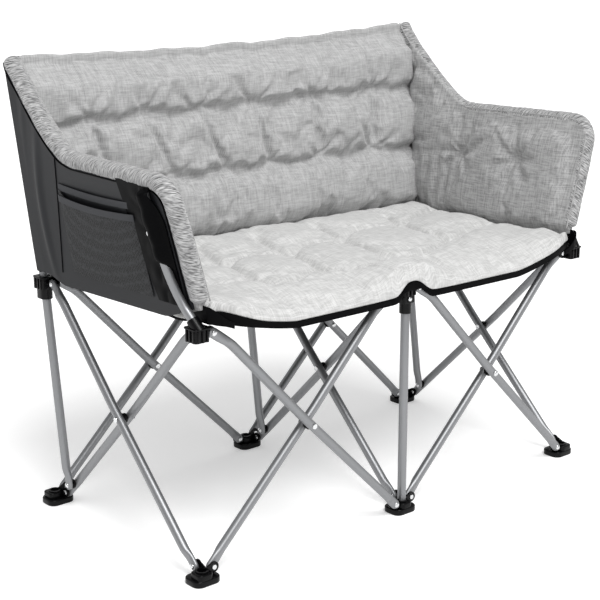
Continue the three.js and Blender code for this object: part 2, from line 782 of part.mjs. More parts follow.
function sideThickness(share, rise, p) {
  const fromBack = share * (backSheetFront(p.z) - sideBackRoom - sideFront);
  const fromFront = (1 - share) * (backSheetFront(p.z) - sideBackRoom - sideFront);
  const edge = Math.min(fromBack, fromFront, p.z - p.bottom, p.top - p.z);
  let thick = sidePadEdge + sidePadCrown * swell(edge / sidePinch);
  for (const tuft of sideTufts) {
    const distance = Math.hypot(p.y - bayDepth * tuft.depthShare, p.z - hubPinHeight - tuft.rise);
    thick -= sideTuftDepth * dent(distance, tuftRadius);
  }
  return thick;
}

function sidePad(sign) {
  const inner = (share, rise) => {
    const p = sidePoint(share, rise);
    return new THREE.Vector3(sign * (p.x - sideThickness(share, rise, p)), p.y, p.z);
  };
  const outer = (share, rise) => {
    const p = sidePoint(share, rise);
    return new THREE.Vector3(sign * p.x, p.y, p.z);
  };
  return join([gridSolid(sideColumnShares, sideRowShares, inner, outer)]);
}

// The outer sheet lies on the pad and carries the sleeve of the arm tube
function sideSheet(sign) {
  const face = (offset) => (share, rise) => {
    const p = sidePoint(share, rise);
    return new THREE.Vector3(sign * (p.x + offset), p.y, p.z);
  };
  const shares = [sideSeamShare, ...sideColumnShares];
  const panel = gridSolid(shares, sideRowShares, face(sheetGap), face(sheetGap + sheet));
  const curve = armCurve(sign);
  const sleeve = tubeAlong(curve, armRadius + sleeveSlack + sleeveWall, armSleeveShares, armSleeveSteps, true);
  const bore = tubeAlong(curve, armRadius + sleeveSlack, armBoreShares, armSleeveSteps, false);
  return join([panel, sleeve], [bore]);
}

function armCurve(sign) {
  return new THREE.CatmullRomCurve3(armPath(sign), false, "centripetal");
}

// A round tube along part of a curve, its far end lengthened to close a sleeve over the tube end
function tubeAlong(curve, radius, ends, steps, closed) {
  const points = evenShares(steps).map((share) => curve.getPointAt(mix(...ends, share)));
  if (closed) points.push(points.at(-1).clone().addScaledVector(curve.getTangentAt(1), sheet));
  const part = new THREE.CatmullRomCurve3(points);
  const circle = new THREE.Shape().absarc(0, 0, radius, 0, 2 * Math.PI);
  return new THREE.ExtrudeGeometry(circle, {
    steps: closed ? steps + 1 : steps,
    extrudePath: part,
    curveSegments: pathSides / 2,
  });
}

function armTube(sign) {
  return join([tubeAlong(armCurve(sign), armRadius, armTubeShares, armTubeSteps, false)]);
}

// Back pad and the sheet with the three post sleeves
function backHalfWidth(height) {
  return sideBackX + (height - sideBottom) * sideBackLean - 3 * sheetGap;
}

function backTopAt(share) {
  return backTop - backTopSag * Math.sin(Math.PI * share);
}

function backPoint(share, rise) {
  const z = mix(backBottom, backTopAt(share), rise);
  const half = backHalfWidth(z);
  return { x: mix(-half, half, share), z, half };
}

function seamShare(x, z) {
  const [upper, lower] = backChannels;
  const list = z > (upper + lower) / 2 ? upperSeams : lowerSeams;
  let seam = 0;
  for (const place of list) seam = Math.max(seam, dent(x - place, seamHalf));
  return seam;
}

function backThickness(p, share) {
  const edge = Math.min(p.half - Math.abs(p.x), p.z - backBottom, backTopAt(share) - p.z);
  let thick = backPadEdge + backPadCrown * swell(edge / backPinch);
  const channel = Math.max(...backChannels.map((height) => dent(p.z - height, channelHalf)));
  const seam = seamShare(p.x, p.z);
  thick -= Math.max(channelDepth * channel, seamDepth * seam) * swell(edge / backPinch);
  return thick;
}

function backPad() {
  const front = (share, rise) => {
    const p = backPoint(share, rise);
    return new THREE.Vector3(p.x, backSheetFront(p.z) - sheetGap - backThickness(p, share), p.z);
  };
  const rear = (share, rise) => {
    const p = backPoint(share, rise);
    return new THREE.Vector3(p.x, backSheetFront(p.z) - sheetGap, p.z);
  };
  return join([gridSolid(backColumnShares, backRowShares, front, rear)]);
}

function backSheet() {
  const point = (offset) => (side, height) => {
    const half = backHalfWidth(height);
    return new THREE.Vector3(side * half, backSheetFront(height) + offset, height);
  };
  const backSheetBottom = hubPinHeight + backSheetRise;
  const heights = [backSheetBottom, backTop - backTopSag];
  const panel = gridSolid([-1, 1], heights, point(0), point(sheet));
  const along = (x, height) => new THREE.Vector3(x, postY(height), height);
  const outer = tubeRadius + clearance + sleeveWall;
  const top = backPostTop + clearance;
  const posts = Object.values(columnX);
  const sleeves = posts.map((x) => rod(outer, along(x, backSheetBottom), along(x, top + sheet)));
  const bore = (x) => rod(tubeRadius + clearance, along(x, backSheetBottom - overrun), along(x, top));
  return join([panel, ...sleeves], posts.map(bore));
}

// Net pocket: a shallow tray standing off the left side sheet, open at the top
function pocket() {
  const sign = -1;
  const base = sheet + 2 * sheetGap;
  const face = (offset, columnPad, rowPad, topPad) => (share, rise) => {
    const columns = pocketColumnShares;
    const rows = pocketRowShares;
    const p = sidePoint(share, rise);
    const y = p.y + (share === columns[0] ? -columnPad : share === columns.at(-1) ? columnPad : 0);
    const z = p.z + (rise === rows[0] ? rowPad : rise === rows.at(-1) ? topPad : 0);
    return new THREE.Vector3(sign * (p.x + offset), y, z);
  };
  const columns = pocketColumnShares;
  const rows = pocketRowShares;
  const outer = gridSolid(columns, rows, face(base, 0, 0, 0), face(base + pocketStand + pocketWall, 0, 0, 0));
  const hollow = gridSolid(
    columns,
    rows,
    face(base - overrun, pocketWall, pocketWall, overrun),
    face(base + pocketStand, pocketWall, pocketWall, overrun),
  );
  return join([outer], [hollow]);
}

// Assembly
const sofa = new THREE.Group();

function add(name, geometry, finish) {
  const mesh = new THREE.Mesh(geometry, new THREE.MeshStandardMaterial(finishes[finish]));
  mesh.name = name;
  sofa.add(mesh);
  return mesh;
}

const left = X.clone().negate();
const toFront = Y.clone().negate();
const columns = {
  left: { lugs: [X], free: [left] },
  centre: { lugs: [left, X], free: [] },
  right: { lugs: [left], free: [X] },
};
const rows = [
  { name: "front", inward: Y, outward: toFront },
  { name: "back", inward: toFront, outward: Y },
];

rows.forEach((row, r) => {
  for (const [name, column] of Object.entries(columns)) {
    const lugs = [...column.lugs, row.inward];
    const free = [...column.free, row.outward];
    const corner = name !== "centre";
    let post = null;
    if (r === 1) post = "back";
    else if (!corner) post = "front";
    const arm = r === 0 && corner ? Math.sign(columnX[name]) : 0;
    const hub = add(`${row.name}_${name}_hub`, hubGeometry({ lugs, free, post, arm, centreX: columnX[name] }), "plastic");
    hub.position.set(columnX[name], rowY[r], hubPinHeight);
    const foot = add(`${row.name}_${name}_foot`, footGeometry({ lugs, free, deep: row.inward.y }), "plastic");
    foot.position.set(columnX[name], rowY[r], 0);
  }
});

// Pins of one scissor leg: foot and hub each given as column and row
function pin(column, row, direction, side, height) {
  const p = new THREE.Vector3(columnX[column], rowY[row], height).add(lugPlane(direction));
  p.addScaledVector(direction, pinInset);
  const across = direction.y === 0 ? Y : X;
  return p.addScaledVector(across, side * legPlane);
}

function scissor(name, first, second, sides, labels) {
  const [firstColumn, firstRow] = first;
  const [secondColumn, secondRow] = second;
  const start = new THREE.Vector3(columnX[firstColumn], rowY[firstRow], 0);
  const finish = new THREE.Vector3(columnX[secondColumn], rowY[secondRow], 0);
  const direction = new THREE.Vector3().subVectors(finish, start).normalize();
  const opposite = direction.clone().negate();
  const across = direction.y === 0 ? Y : X;
  const legs = [
    [pin(firstColumn, firstRow, direction, sides[0], footPinHeight), pin(secondColumn, secondRow, opposite, sides[0], hubPinHeight)],
    [pin(secondColumn, secondRow, opposite, sides[1], footPinHeight), pin(firstColumn, firstRow, direction, sides[1], hubPinHeight)],
  ];
  legs.forEach(([foot, hub], i) => {
    const holes = [foot.distanceTo(hub) / 2];
    if (direction.y !== 0 && i === 1) holes.push(backRivetDistance);
    const outward = across.clone().multiplyScalar(sides[i]);
    add(`${name}_leg_${labels[i]}`, legTube(foot, hub, outward, holes), "steel");
  });
  const [foot, hub] = legs[0];
  const middle = foot.clone().add(hub).multiplyScalar(1 / 2);
  const centre = middle.clone().addScaledVector(across, -sides[0] * legPlane);
  const towards = across.clone().multiplyScalar(-sides[0]);
  const along = new THREE.Vector3().subVectors(hub, foot).normalize();
  add(`${name}_spacer`, spacer(centre, towards, along, true), "plastic");
  const reach = legPlane + tubeRadius + clearance;
  add(`${name}_pivot`, rivet(centre, towards, -reach, reach), "rivet");
}

scissor("front_left", ["centre", 0], ["left", 0], [-1, 1], ["outer", "inner"]);
scissor("front_right", ["centre", 0], ["right", 0], [1, -1], ["inner", "outer"]);
scissor("left_side", ["left", 0], ["left", 1], [-1, 1], ["outer", "inner"]);
scissor("middle", ["centre", 0], ["centre", 1], [-1, 1], ["left", "right"]);
scissor("right_side", ["right", 0], ["right", 1], [-1, 1], ["inner", "outer"]);
scissor("back_left", ["centre", 1], ["left", 1], [-1, 1], ["inner", "outer"]);
scissor("back_right", ["centre", 1], ["right", 1], [1, -1], ["outer", "inner"]);

const postBottom = new THREE.Vector3(0, 0, socketFloor + clearance);
add("front_centre_post", plainPost(postBottom, new THREE.Vector3(0, 0, frontPostTop)), "steel");
for (const [name, x] of Object.entries(columnX)) {
  add(`back_${name}_post`, backPost(x), "steel");
  const centre = new THREE.Vector3(x + legPlane, rivetBack, rivetHeight);
  add(`back_${name}_post_spacer`, spacer(centre, X, Y, false), "plastic");
}

add("seat_sheet_front", seatSheet(seatRowsFront, -1), "shell");
add("seat_sheet_back", seatSheet(seatRowsBack, 1), "shell");
add("seat_pad_front", seatPad(seatRowsFront, -1), "plush");
add("seat_pad_back", seatPad(seatRowsBack, 1), "plush");
add("back_sheet", backSheet(), "shell");
add("back_pad", backPad(), "linen");
for (const [name, sign] of [["left", -1], ["right", 1]]) {
  add(`${name}_arm_tube`, armTube(sign), "steel");
  add(`${name}_side_sheet`, sideSheet(sign), "shell");
  add(`${name}_side_pad`, sidePad(sign), "melange");
}
add("left_side_pocket", pocket(), "net");

// The whole sofa is centred over the origin
sofa.updateMatrixWorld(true);
const bounds = new THREE.Box3().setFromObject(sofa);
sofa.position.set(-(bounds.min.x + bounds.max.x) / 2, -(bounds.min.y + bounds.max.y) / 2, -bounds.min.z);

export default sofa;
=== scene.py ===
"""Folding camping loveseat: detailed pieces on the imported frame, laid out as an add-on."""

import json
import math

import bpy
import numpy as np
from mathutils import Matrix, Vector


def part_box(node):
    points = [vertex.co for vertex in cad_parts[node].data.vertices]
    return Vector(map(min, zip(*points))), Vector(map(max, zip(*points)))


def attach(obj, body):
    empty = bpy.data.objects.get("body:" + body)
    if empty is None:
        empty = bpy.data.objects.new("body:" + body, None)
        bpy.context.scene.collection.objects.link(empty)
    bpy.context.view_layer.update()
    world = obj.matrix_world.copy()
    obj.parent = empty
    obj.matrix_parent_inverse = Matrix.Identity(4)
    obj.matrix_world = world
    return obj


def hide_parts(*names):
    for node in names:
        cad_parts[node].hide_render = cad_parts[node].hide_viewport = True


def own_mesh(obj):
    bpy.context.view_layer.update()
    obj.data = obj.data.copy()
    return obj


bl_info = {
    "name": "Folding camping loveseat",
    "version": (1, 0, 0),
    "blender": (4, 5, 0),
    "location": "View3D > Sidebar > Loveseat",
    "description": "Tube frame, moulded hubs and padded cloth of a folding camping loveseat",
    "category": "Object",
}

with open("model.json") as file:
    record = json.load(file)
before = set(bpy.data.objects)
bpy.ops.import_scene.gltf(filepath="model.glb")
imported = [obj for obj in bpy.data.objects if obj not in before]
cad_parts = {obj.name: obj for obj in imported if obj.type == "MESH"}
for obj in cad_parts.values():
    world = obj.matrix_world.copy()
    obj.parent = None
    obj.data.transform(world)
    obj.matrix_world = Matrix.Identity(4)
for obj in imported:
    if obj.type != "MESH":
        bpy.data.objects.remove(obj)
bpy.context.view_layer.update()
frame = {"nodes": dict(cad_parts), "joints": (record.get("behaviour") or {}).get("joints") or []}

# Sizes in metres, the same as the frame's; pins, columns and rows come from its joints
JOINTS = {joint["name"]: joint for joint in frame["joints"]}
LEG_PLANE = 0.010
PIN_INSET = 0.024
FOOT_PIN = JOINTS["frame_fold"]["pos_m"][2]
HUB_PIN = JOINTS["front_left_hub_pivot"]["pos_m"][2]
FRONT_ROW = JOINTS["frame_fold"]["pos_m"][1] + LEG_PLANE
BAY = -JOINTS["front_left_hub_pivot"]["pos_m"][0] + PIN_INSET
COLUMNS = {"left": -BAY, "centre": 0.0, "right": BAY}
SIDES = (("left", -1), ("right", 1))
ROWS = {"front": FRONT_ROW, "back": FRONT_ROW + BAY}

# Tubes: outer radii, and the flattened ends that stay flat for FLAT_END and flare over FLARE
TUBE = 0.008
ARM_TUBE = 0.0075
END_HALF = 0.009
END_THICKNESS = 0.011
FLAT_END = 0.012
FLARE = 0.022
RIVET_SHANK = 0.0024
RIVET_SEAT = END_THICKNESS - TUBE - 0.0002

# Mouldings
LUG = 0.0034
LUG_RADIUS = 0.0095
GAP = 0.0003
HUB_TOP = HUB_PIN + 0.012
HUB_HALF = 0.014
POST_BORE = 0.0083

# Back posts: where they are riveted, their lean and their tops
RIVET_BACK = JOINTS["back_centre_post_pivot"]["pos_m"][1] - FRONT_ROW
RIVET_HEIGHT = JOINTS["back_centre_post_pivot"]["pos_m"][2]
COLLAR_MIDDLE = JOINTS["back_lean"]["pos_m"][2]
POST_SLOPE = (BAY - RIVET_BACK) / (COLLAR_MIDDLE - RIVET_HEIGHT)
POST_TOPS = {"left": 0.816, "centre": 0.822, "right": 0.826}

# Cloth: thickness of sheets and strips, and the gap between layers
SHEET = 0.003
SHEET_GAP = 0.0004
STRIP = 0.0014


# ---------------------------------------------------------------- small tools
def linear(colour):
    """A #rrggbb colour as linear red, green, blue and full alpha."""
    values = [int(colour[i : i + 2], 16) / 255 for i in (1, 3, 5)]
    return [v / 12.92 if v <= 0.04045 else ((v + 0.055) / 1.055) ** 2.4 for v in values] + [1.0]


def deselect():
    if bpy.context.object and bpy.context.object.mode != "OBJECT":
        bpy.ops.object.mode_set(mode="OBJECT")
    bpy.ops.object.select_all(action="DESELECT")


def only(piece):
    deselect()
    piece.select_set(True)
    bpy.context.view_layer.objects.active = piece


def edit_all(piece):
    only(piece)
    bpy.ops.object.mode_set(mode="EDIT")
    bpy.ops.mesh.select_mode(type="FACE")
    bpy.ops.mesh.select_all(action="SELECT")


def edit_done():
    bpy.ops.object.mode_set(mode="OBJECT")


def apply_place(piece):
    only(piece)
    bpy.ops.object.transform_apply(location=True, rotation=True, scale=True)


def apply_modifiers(piece):
    only(piece)
    for modifier in list(piece.modifiers):
        bpy.ops.object.modifier_apply(modifier=modifier.name)


def points_of(piece):
    co = np.empty(len(piece.data.vertices) * 3)
    piece.data.vertices.foreach_get("co", co)
    return co.reshape(-1, 3)


def set_points(piece, co):
    piece.data.vertices.foreach_set("co", co.reshape(-1))
    piece.data.update()


def face_outwards(piece):
    edit_all(piece)
    bpy.ops.mesh.remove_doubles(threshold=0.00002)
    bpy.ops.mesh.select_all(action="SELECT")
    bpy.ops.mesh.normals_make_consistent(inside=False)
    edit_done()
    return piece


def smooth(piece, degrees):
    only(piece)
    bpy.ops.object.shade_smooth_by_angle(angle=math.radians(degrees))


def named(piece, name):
    piece.name = piece.data.name = name
    return piece


def moved(piece, *at):
    piece.data.transform(Matrix.Translation(at))
    return piece


def turned_to(direction):
    """Turns the Z axis to a direction."""
    return Vector((0, 0, 1)).rotation_difference(direction).to_matrix().to_4x4()


def joined(parts, name):
    deselect()
    for part in parts:
        part.select_set(True)
    bpy.context.view_layer.objects.active = parts[0]
    bpy.ops.object.join()
    return named(parts[0], name)


def united(parts, name):
    """One solid from overlapping parts."""
    for part in parts[1:]:
        combine(parts[0], part, "UNION")
    return named(parts[0], name)


def combine(piece, tool, operation):
    only(piece)
    modifier = piece.modifiers.new("combine", "BOOLEAN")
    modifier.operation = operation
    modifier.solver = "EXACT"
    modifier.object = tool
    bpy.ops.object.modifier_apply(modifier=modifier.name)
    bpy.data.objects.remove(tool)


def copy_of(model, name, matrix=None):
    """A copy with its own mesh; a mirrored one is turned right side out."""
    piece = model.copy()
    piece.data = model.data.copy()
    bpy.context.scene.collection.objects.link(named(piece, name))
    if matrix is not None:
        piece.data.transform(matrix)
        if matrix.determinant() < 0:
            piece.data.flip_normals()
    return piece


def settle(piece, body, finish_name, replaces=(), angle=35):
    """Smooth look, material and the frame body that the finished piece moves with."""
    smooth(piece, angle)
    piece.data.materials.clear()
    piece.data.materials.append(finish(finish_name))
    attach(piece, body)
    if replaces:
        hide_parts(*replaces)
    return piece


def squash_width(piece):
    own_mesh(piece)


def squash_side(piece):
    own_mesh(piece)


def place(x, y, z):
    """A point given from the front row of hubs."""
    return Vector((x, y + FRONT_ROW, z))


# ---------------------------------------------------------------- primitives
def bevel(piece, width, segments, degrees=None):
    """Rounds the edges; where degrees is given, only those that turn by more."""
    modifier = piece.modifiers.new("round", "BEVEL")
    modifier.width = width
    modifier.segments = segments
    if degrees:
        modifier.limit_method = "ANGLE"
        modifier.angle_limit = math.radians(degrees)
    apply_modifiers(piece)


def box(low, high):
    deselect()
    low, high = Vector(low), Vector(high)
    bpy.ops.mesh.primitive_cube_add(size=1, location=(low + high) / 2, scale=high - low)
    piece = bpy.context.object
    apply_place(piece)
    return piece


def rounded_plate(width, depth, corner, low, high, rim=0.0012, shift=0.0):
    """A plate with round corners in plan and a softened rim."""
    piece = box((-width / 2, -depth / 2 + shift, low), (width / 2, depth / 2 + shift, high))
    only(piece)
    bpy.ops.object.mode_set(mode="EDIT")
    bpy.ops.mesh.select_all(action="DESELECT")
    edit_done()
    for edge in piece.data.edges:
        a, b = (piece.data.vertices[i].co for i in edge.vertices)
        edge.select = abs(a.z - b.z) > abs(a.x - b.x) + abs(a.y - b.y)
    bpy.ops.object.mode_set(mode="EDIT")
    bpy.ops.mesh.select_mode(type="EDGE")
    bpy.ops.mesh.bevel(offset=corner, segments=6, affect="EDGES")
    edit_done()
    if rim:
        bevel(piece, rim, 3, 60)
    return piece


def rod(radius, start, end, sides=32):
    deselect()
    start, end = Vector(start), Vector(end)
    axis = end - start
    bpy.ops.mesh.primitive_cylinder_add(vertices=sides, radius=radius, depth=axis.length)
    piece = bpy.context.object
    piece.data.transform(Matrix.Translation((start + end) / 2) @ turned_to(axis))
    return piece


def ring_loft(name, stations, sides=24):
    """A closed tube drawn ring by ring: each station is centre x, y, z and the half widths across x and y."""
    deselect()
    x, y, z, wide, thick = stations[0]
    bpy.ops.mesh.primitive_circle_add(vertices=sides, radius=1, fill_type="NGON", location=(0, 0, 0))
    piece = bpy.context.object
    piece.data.transform(Matrix.Translation((x, y, z)) @ Matrix.Diagonal((wide, thick, 1, 1)))
    edit_all(piece)
    for station in stations[1:]:
        nx, ny, nz, nwide, nthick = station
        move = (nx - x, ny - y, nz - z)
        bpy.ops.mesh.extrude_region_move(TRANSFORM_OT_translate={"value": move})
        bpy.ops.transform.resize(value=(nwide / wide, nthick / thick, 1), center_override=(nx, ny, nz))
        x, y, z, wide, thick = station
    edit_done()
    return face_outwards(named(piece, name))


def rivet_model(head_at, tail_at, head=0.0052, dome=0.0026):
    """A domed head and a flatter tail head on the Z axis."""
    rings = [(tail_at - 0.0016, 0.5 * head), (tail_at - 0.0012, 0.82 * head), (tail_at, 0.9 * head)]
    rings += [(tail_at, RIVET_SHANK), (head_at, RIVET_SHANK)]
    for angle in (0, 20, 40, 60, 78):
        rise = math.radians(angle)
        rings.append((head_at + dome * math.sin(rise), head * math.cos(rise)))
    return ring_loft("rivet", [(0, 0, at, radius, radius) for at, radius in rings], 20)


def tube_path(name, points, radius):
    """A round tube along a smooth line through points."""
    deselect()
    bpy.ops.curve.primitive_bezier_curve_add()
    curve = bpy.context.object.data
    curve.dimensions = "3D"
    curve.splines.clear()
    spline = curve.splines.new("BEZIER")
    spline.bezier_points.add(len(points) - 1)
    for knot, point in zip(spline.bezier_points, points):
        knot.co = point
        knot.handle_left_type = knot.handle_right_type = "AUTO"
    spline.resolution_u = 8
    curve.bevel_depth = radius
    curve.bevel_resolution = 5
    curve.use_fill_caps = True
    only(bpy.context.object)
    bpy.ops.object.convert(target="MESH")
    return face_outwards(named(bpy.context.object, name))


# ---------------------------------------------------------------- materials
def add_node(tree, kind, inputs=(), **settings):
    """Adds a node, sets it, and fills or links its inputs by name or number."""
    item = tree.nodes.new(kind)
    for key, value in settings.items():
        setattr(item, key, value)
    for key, value in dict(inputs).items():
        if isinstance(value, bpy.types.NodeSocket):
            tree.links.new(value, item.inputs[key])
        else:
            item.inputs[key].default_value = value
    return item


def new_material(name, roughness, **inputs):
    """A material with one principled shader; its further inputs are named with _ for a blank."""
    material = bpy.data.materials.new(name)
    material.use_nodes = True
    tree = material.node_tree
    tree.nodes.clear()
    output = tree.nodes.new("ShaderNodeOutputMaterial")
    values = {key.replace("_", " "): value for key, value in inputs.items()}
    shader = add_node(tree, "ShaderNodeBsdfPrincipled", {"Roughness": roughness, **values})
    tree.links.new(shader.outputs[0], output.inputs["Surface"])
    return material, tree, shader


def calculate(tree, operation, first, second):
    return add_node(tree, "ShaderNodeMath", {0: first, 1: second}, operation=operation).outputs[0]


def blend_colours(tree, factor, first, second):
    ends = {0: factor, 6: linear(first), 7: linear(second)}
    return add_node(tree, "ShaderNodeMix", ends, data_type="RGBA").outputs[2]


def raise_surface(tree, shader, height, strength, distance):
    bump = add_node(tree, "ShaderNodeBump", {"Height": height, "Strength": strength, "Distance": distance})
    tree.links.new(bump.outputs[0], shader.inputs["Normal"])


def grained(name, colour, roughness, scale, detail, strength, distance, **inputs):
    """One colour with a fine noise of the given scale and detail, raised by strength and distance."""
    material, tree, shader = new_material(name, roughness, Base_Color=linear(colour), **inputs)
    where = add_node(tree, "ShaderNodeTexCoord").outputs["Object"]
    grain = add_node(tree, "ShaderNodeTexNoise", {"Vector": where, "Scale": scale, "Detail": detail})
    raise_surface(tree, shader, grain.outputs[0], strength, distance)
    return material


def powder_coated_steel():
    # Grey metallic powder coat: soft broad highlights with a faint orange peel
    return grained("powder_coated_steel", "#8a8b8d", 0.42, 900.0, 2.0, 0.06, 0.0004, Metallic=0.75)


def zinc_rivet_steel():
    # Bright zinc-plated rivets: sharp small highlights
    return new_material("zinc_rivet_steel", 0.22, Base_Color=linear("#d6d7d8"), Metallic=1.0)[0]


def moulded_nylon():
    # Black glass-filled nylon from a polished mould: dark with crisp but soft-edged highlights
    return grained("moulded_nylon", "#060607", 0.25, 700.0, 3.0, 0.08, 0.0003, Specular_IOR_Level=0.15)


def oxford_cloth(name, colour, roughness=0.55, gloss=0.25):
    # Coated Oxford polyester: fine basket weave, slightly waxy
    return grained(name, colour, roughness, 650.0, 2.0, 0.25, 0.0004, Specular_IOR_Level=gloss)


def woven_cloth(name, dark, light, turn, thread=0.0022, slub=0.35, contrast=0.5, strip=None):
    """A plain weave on a plane turned by turn, with uneven slub yarns; thread is drawn coarse enough to show.
    strip is the length and width of a piece whose weave follows its UV map, with slubs in the weft only."""
    hair = {"Sheen_Weight": 0.3, "Sheen_Roughness": 0.5, "Specular_IOR_Level": 0.2}
    material, tree, shader = new_material(name, 0.9, **hair)
    where = add_node(tree, "ShaderNodeTexCoord").outputs["UV" if strip else "Object"]
    if strip:
        where = add_node(tree, "ShaderNodeMapping", {"Vector": where, "Scale": (*strip, 1.0)}).outputs[0]
    flat = add_node(tree, "ShaderNodeMapping", {"Vector": where, "Rotation": turn}).outputs[0]
    # Sine bands repeat every 2 pi / 20 units at scale 1, so this gives one band per thread
    band = math.pi / 10 / thread
    wave = {"Vector": flat, "Scale": band, "Distortion": 1.2, "Detail": 1.0, "Detail Scale": 2.0}
    bands = [add_node(tree, "ShaderNodeTexWave", wave, bands_direction=way).outputs["Fac"] for way in "XY"]
    weave = calculate(tree, "MAXIMUM", *bands)
    # Slubs: short thick places stretched along either yarn
    slubs = []
    for stretch in ((40.0, 420.0, 40.0), (90.0, 620.0, 40.0) if strip else (420.0, 40.0, 40.0)):
        drawn = add_node(tree, "ShaderNodeMapping", {"Vector": flat, "Scale": stretch}).outputs[0]
        noise = add_node(tree, "ShaderNodeTexNoise", {"Vector": drawn, "Scale": 1.0, "Detail": 2.0})
        slubs.append(noise.outputs[0])
    spread = {"Value": calculate(tree, "ADD", *slubs), "From Min": 0.75, "From Max": 1.25}
    spread |= {"To Min": 0.5 - slub, "To Max": 0.5 + slub}
    uneven = add_node(tree, "ShaderNodeMapRange", spread).outputs[0]
    mix = {"Factor": contrast, 2: uneven, 3: weave}
    both = add_node(tree, "ShaderNodeMix", mix, data_type="FLOAT").outputs[0]
    tree.links.new(blend_colours(tree, both, dark, light), shader.inputs["Base Color"])
    raise_surface(tree, shader, both, 0.35, 0.0004)
    return material


def elastic_net():
    # Knitted net over dark cloth: small dark meshes with a dull sheen, 4 mm apart
    material, tree, shader = new_material("elastic_net", 0.8)
    turn = (math.radians(45), 0.0, 0.0)
    where = add_node(tree, "ShaderNodeTexCoord").outputs["Object"]
    turned = add_node(tree, "ShaderNodeMapping", {"Vector": where, "Rotation": turn}).outputs[0]
    mesh = {"Vector": turned, "Scale": 230.0, "Randomness": 0.3}
    cells = add_node(tree, "ShaderNodeTexVoronoi", mesh, feature="F1", distance="CHEBYCHEV")
    edges = {"Value": cells.outputs["Distance"], "From Min": 0.25, "From Max": 0.5}
    step = add_node(tree, "ShaderNodeMapRange", edges).outputs[0]
    tree.links.new(blend_colours(tree, step, "#060607", "#2e2f31"), shader.inputs["Base Color"])
    raise_surface(tree, shader, step, 0.5, 0.0006)
    return material


def studio_paper():
    # Pale seamless paper, drawn white to the eye and in reflections
    colours = {
        "Base_Color": tuple(bpy.context.scene.loveseat_colours.floor),
        "Emission_Color": linear("#ffffff"),
    }
    material, tree, shader = new_material("studio_paper", 0.8, **colours)
    rays_seen = add_node(tree, "ShaderNodeLightPath").outputs
    seen = calculate(tree, "MAXIMUM", rays_seen["Is Camera Ray"], rays_seen["Is Glossy Ray"])
    tree.links.new(calculate(tree, "MULTIPLY", seen, 0.32), shader.inputs["Emission Strength"])
    return material


FINISHES = {}


def finish(name):
    """Each material is made once."""
    level = (0.0, 0.0, 0.0)
    upright = (math.radians(90), 0.0, 0.0)
    sideways = (0.0, math.radians(90), 0.0)
    bias = (0.0, 0.0, math.radians(58))
    makers = {
        "steel": powder_coated_steel,
        "rivet": zinc_rivet_steel,
        "nylon": moulded_nylon,
        # Seat: pale linen-look polyester, soft and slightly hairy
        "seat_linen": lambda: woven_cloth(
            "pale_linen_weave", "#8a8a89", "#dededd", level, thread=0.0018, slub=0.26, contrast=0.30
        ),
        # Back: mid-grey linen-look polyester with visible slub yarns
        "back_linen": lambda: woven_cloth("grey_linen_weave", "#626262", "#c2c2c2", upright),
        # Sides: grey melange canvas with stronger streaks
        "side_linen": lambda: woven_cloth("melange_canvas", "#525252", "#bababa", sideways, slub=0.45),
        # Rolls: the melange cut on the bias, so that its streaks run round the roll
        "roll_linen": lambda: woven_cloth(
            "melange_roll", "#3c3c3d", "#c0c0c0", bias, slub=0.7, contrast=0.18, strip=(1.1, 0.094)
        ),
        "oxford": lambda: oxford_cloth("oxford_shell", "#1c1d20"),
        "black_oxford": lambda: oxford_cloth("black_oxford_trim", "#050506", 0.5, 0.04),
        "webbing": lambda: oxford_cloth("black_webbing", "#060607", 0.5, 0.04),
        "elastic": lambda: oxford_cloth("elastic_band", "#3c3d40", 0.7),
        "net": elastic_net,
        "paper": studio_paper,
    }
    if name not in FINISHES:
        FINISHES[name] = makers[name]()
    return FINISHES[name]


# ---------------------------------------------------------------- frame places
def pin(column, row, direction, side, height):
    """Centre of a leg end at its pin: direction points from the foot or hub along the leg, side picks the plane."""
    x, y = COLUMNS[column], ROWS[row]
    dx, dy = direction
    if dy == 0:
        return Vector((x + dx * PIN_INSET, y + side * LEG_PLANE, height))
    return Vector((x + LEG_PLANE + side * LEG_PLANE, y + dy * PIN_INSET, height))


SCISSORS = {
    # name: first column and row, second column and row, planes, leg words
    "front_left": (("centre", "front"), ("left", "front"), (-1, 1), ("outer", "inner")),
    "front_right": (("centre", "front"), ("right", "front"), (1, -1), ("inner", "outer")),
    "left_side": (("left", "front"), ("left", "back"), (-1, 1), ("outer", "inner")),
    "middle": (("centre", "front"), ("centre", "back"), (-1, 1), ("left", "right")),
    "right_side": (("right", "front"), ("right", "back"), (-1, 1), ("inner", "outer")),
    "back_left": (("centre", "back"), ("left", "back"), (-1, 1), ("inner", "outer")),
    "back_right": (("centre", "back"), ("right", "back"), (1, -1), ("outer", "inner")),
}


def scissor_legs(name):
    """Name, foot pin, hub pin and outward direction of both legs of a pair."""
    first, second, sides, words = SCISSORS[name]
    run = Vector((COLUMNS[second[0]] - COLUMNS[first[0]], ROWS[second[1]] - ROWS[first[1]])).normalized()
    ahead = (round(run.x), round(run.y))
    behind = (-ahead[0], -ahead[1])
    across = Vector((0, 1, 0)) if ahead[1] == 0 else Vector((1, 0, 0))
    ends = [
        (pin(*first, ahead, sides[0], FOOT_PIN), pin(*second, behind, sides[0], HUB_PIN)),
        (pin(*second, behind, sides[1], FOOT_PIN), pin(*first, ahead, sides[1], HUB_PIN)),
    ]
    return [(f"{name}_leg_{words[i]}", *ends[i], across * sides[i]) for i in (0, 1)]


def leg_matrix(foot, hub, outward):
    """Takes a leg modelled up the Z axis, outward +Y and crown +X, to its place."""
    along = (hub - foot).normalized()
    crown = outward.cross(along)
    if crown.z < 0:
        crown.negate()
    columns = Matrix((crown, outward, along)).transposed().to_4x4()
    return Matrix.Translation(foot) @ columns


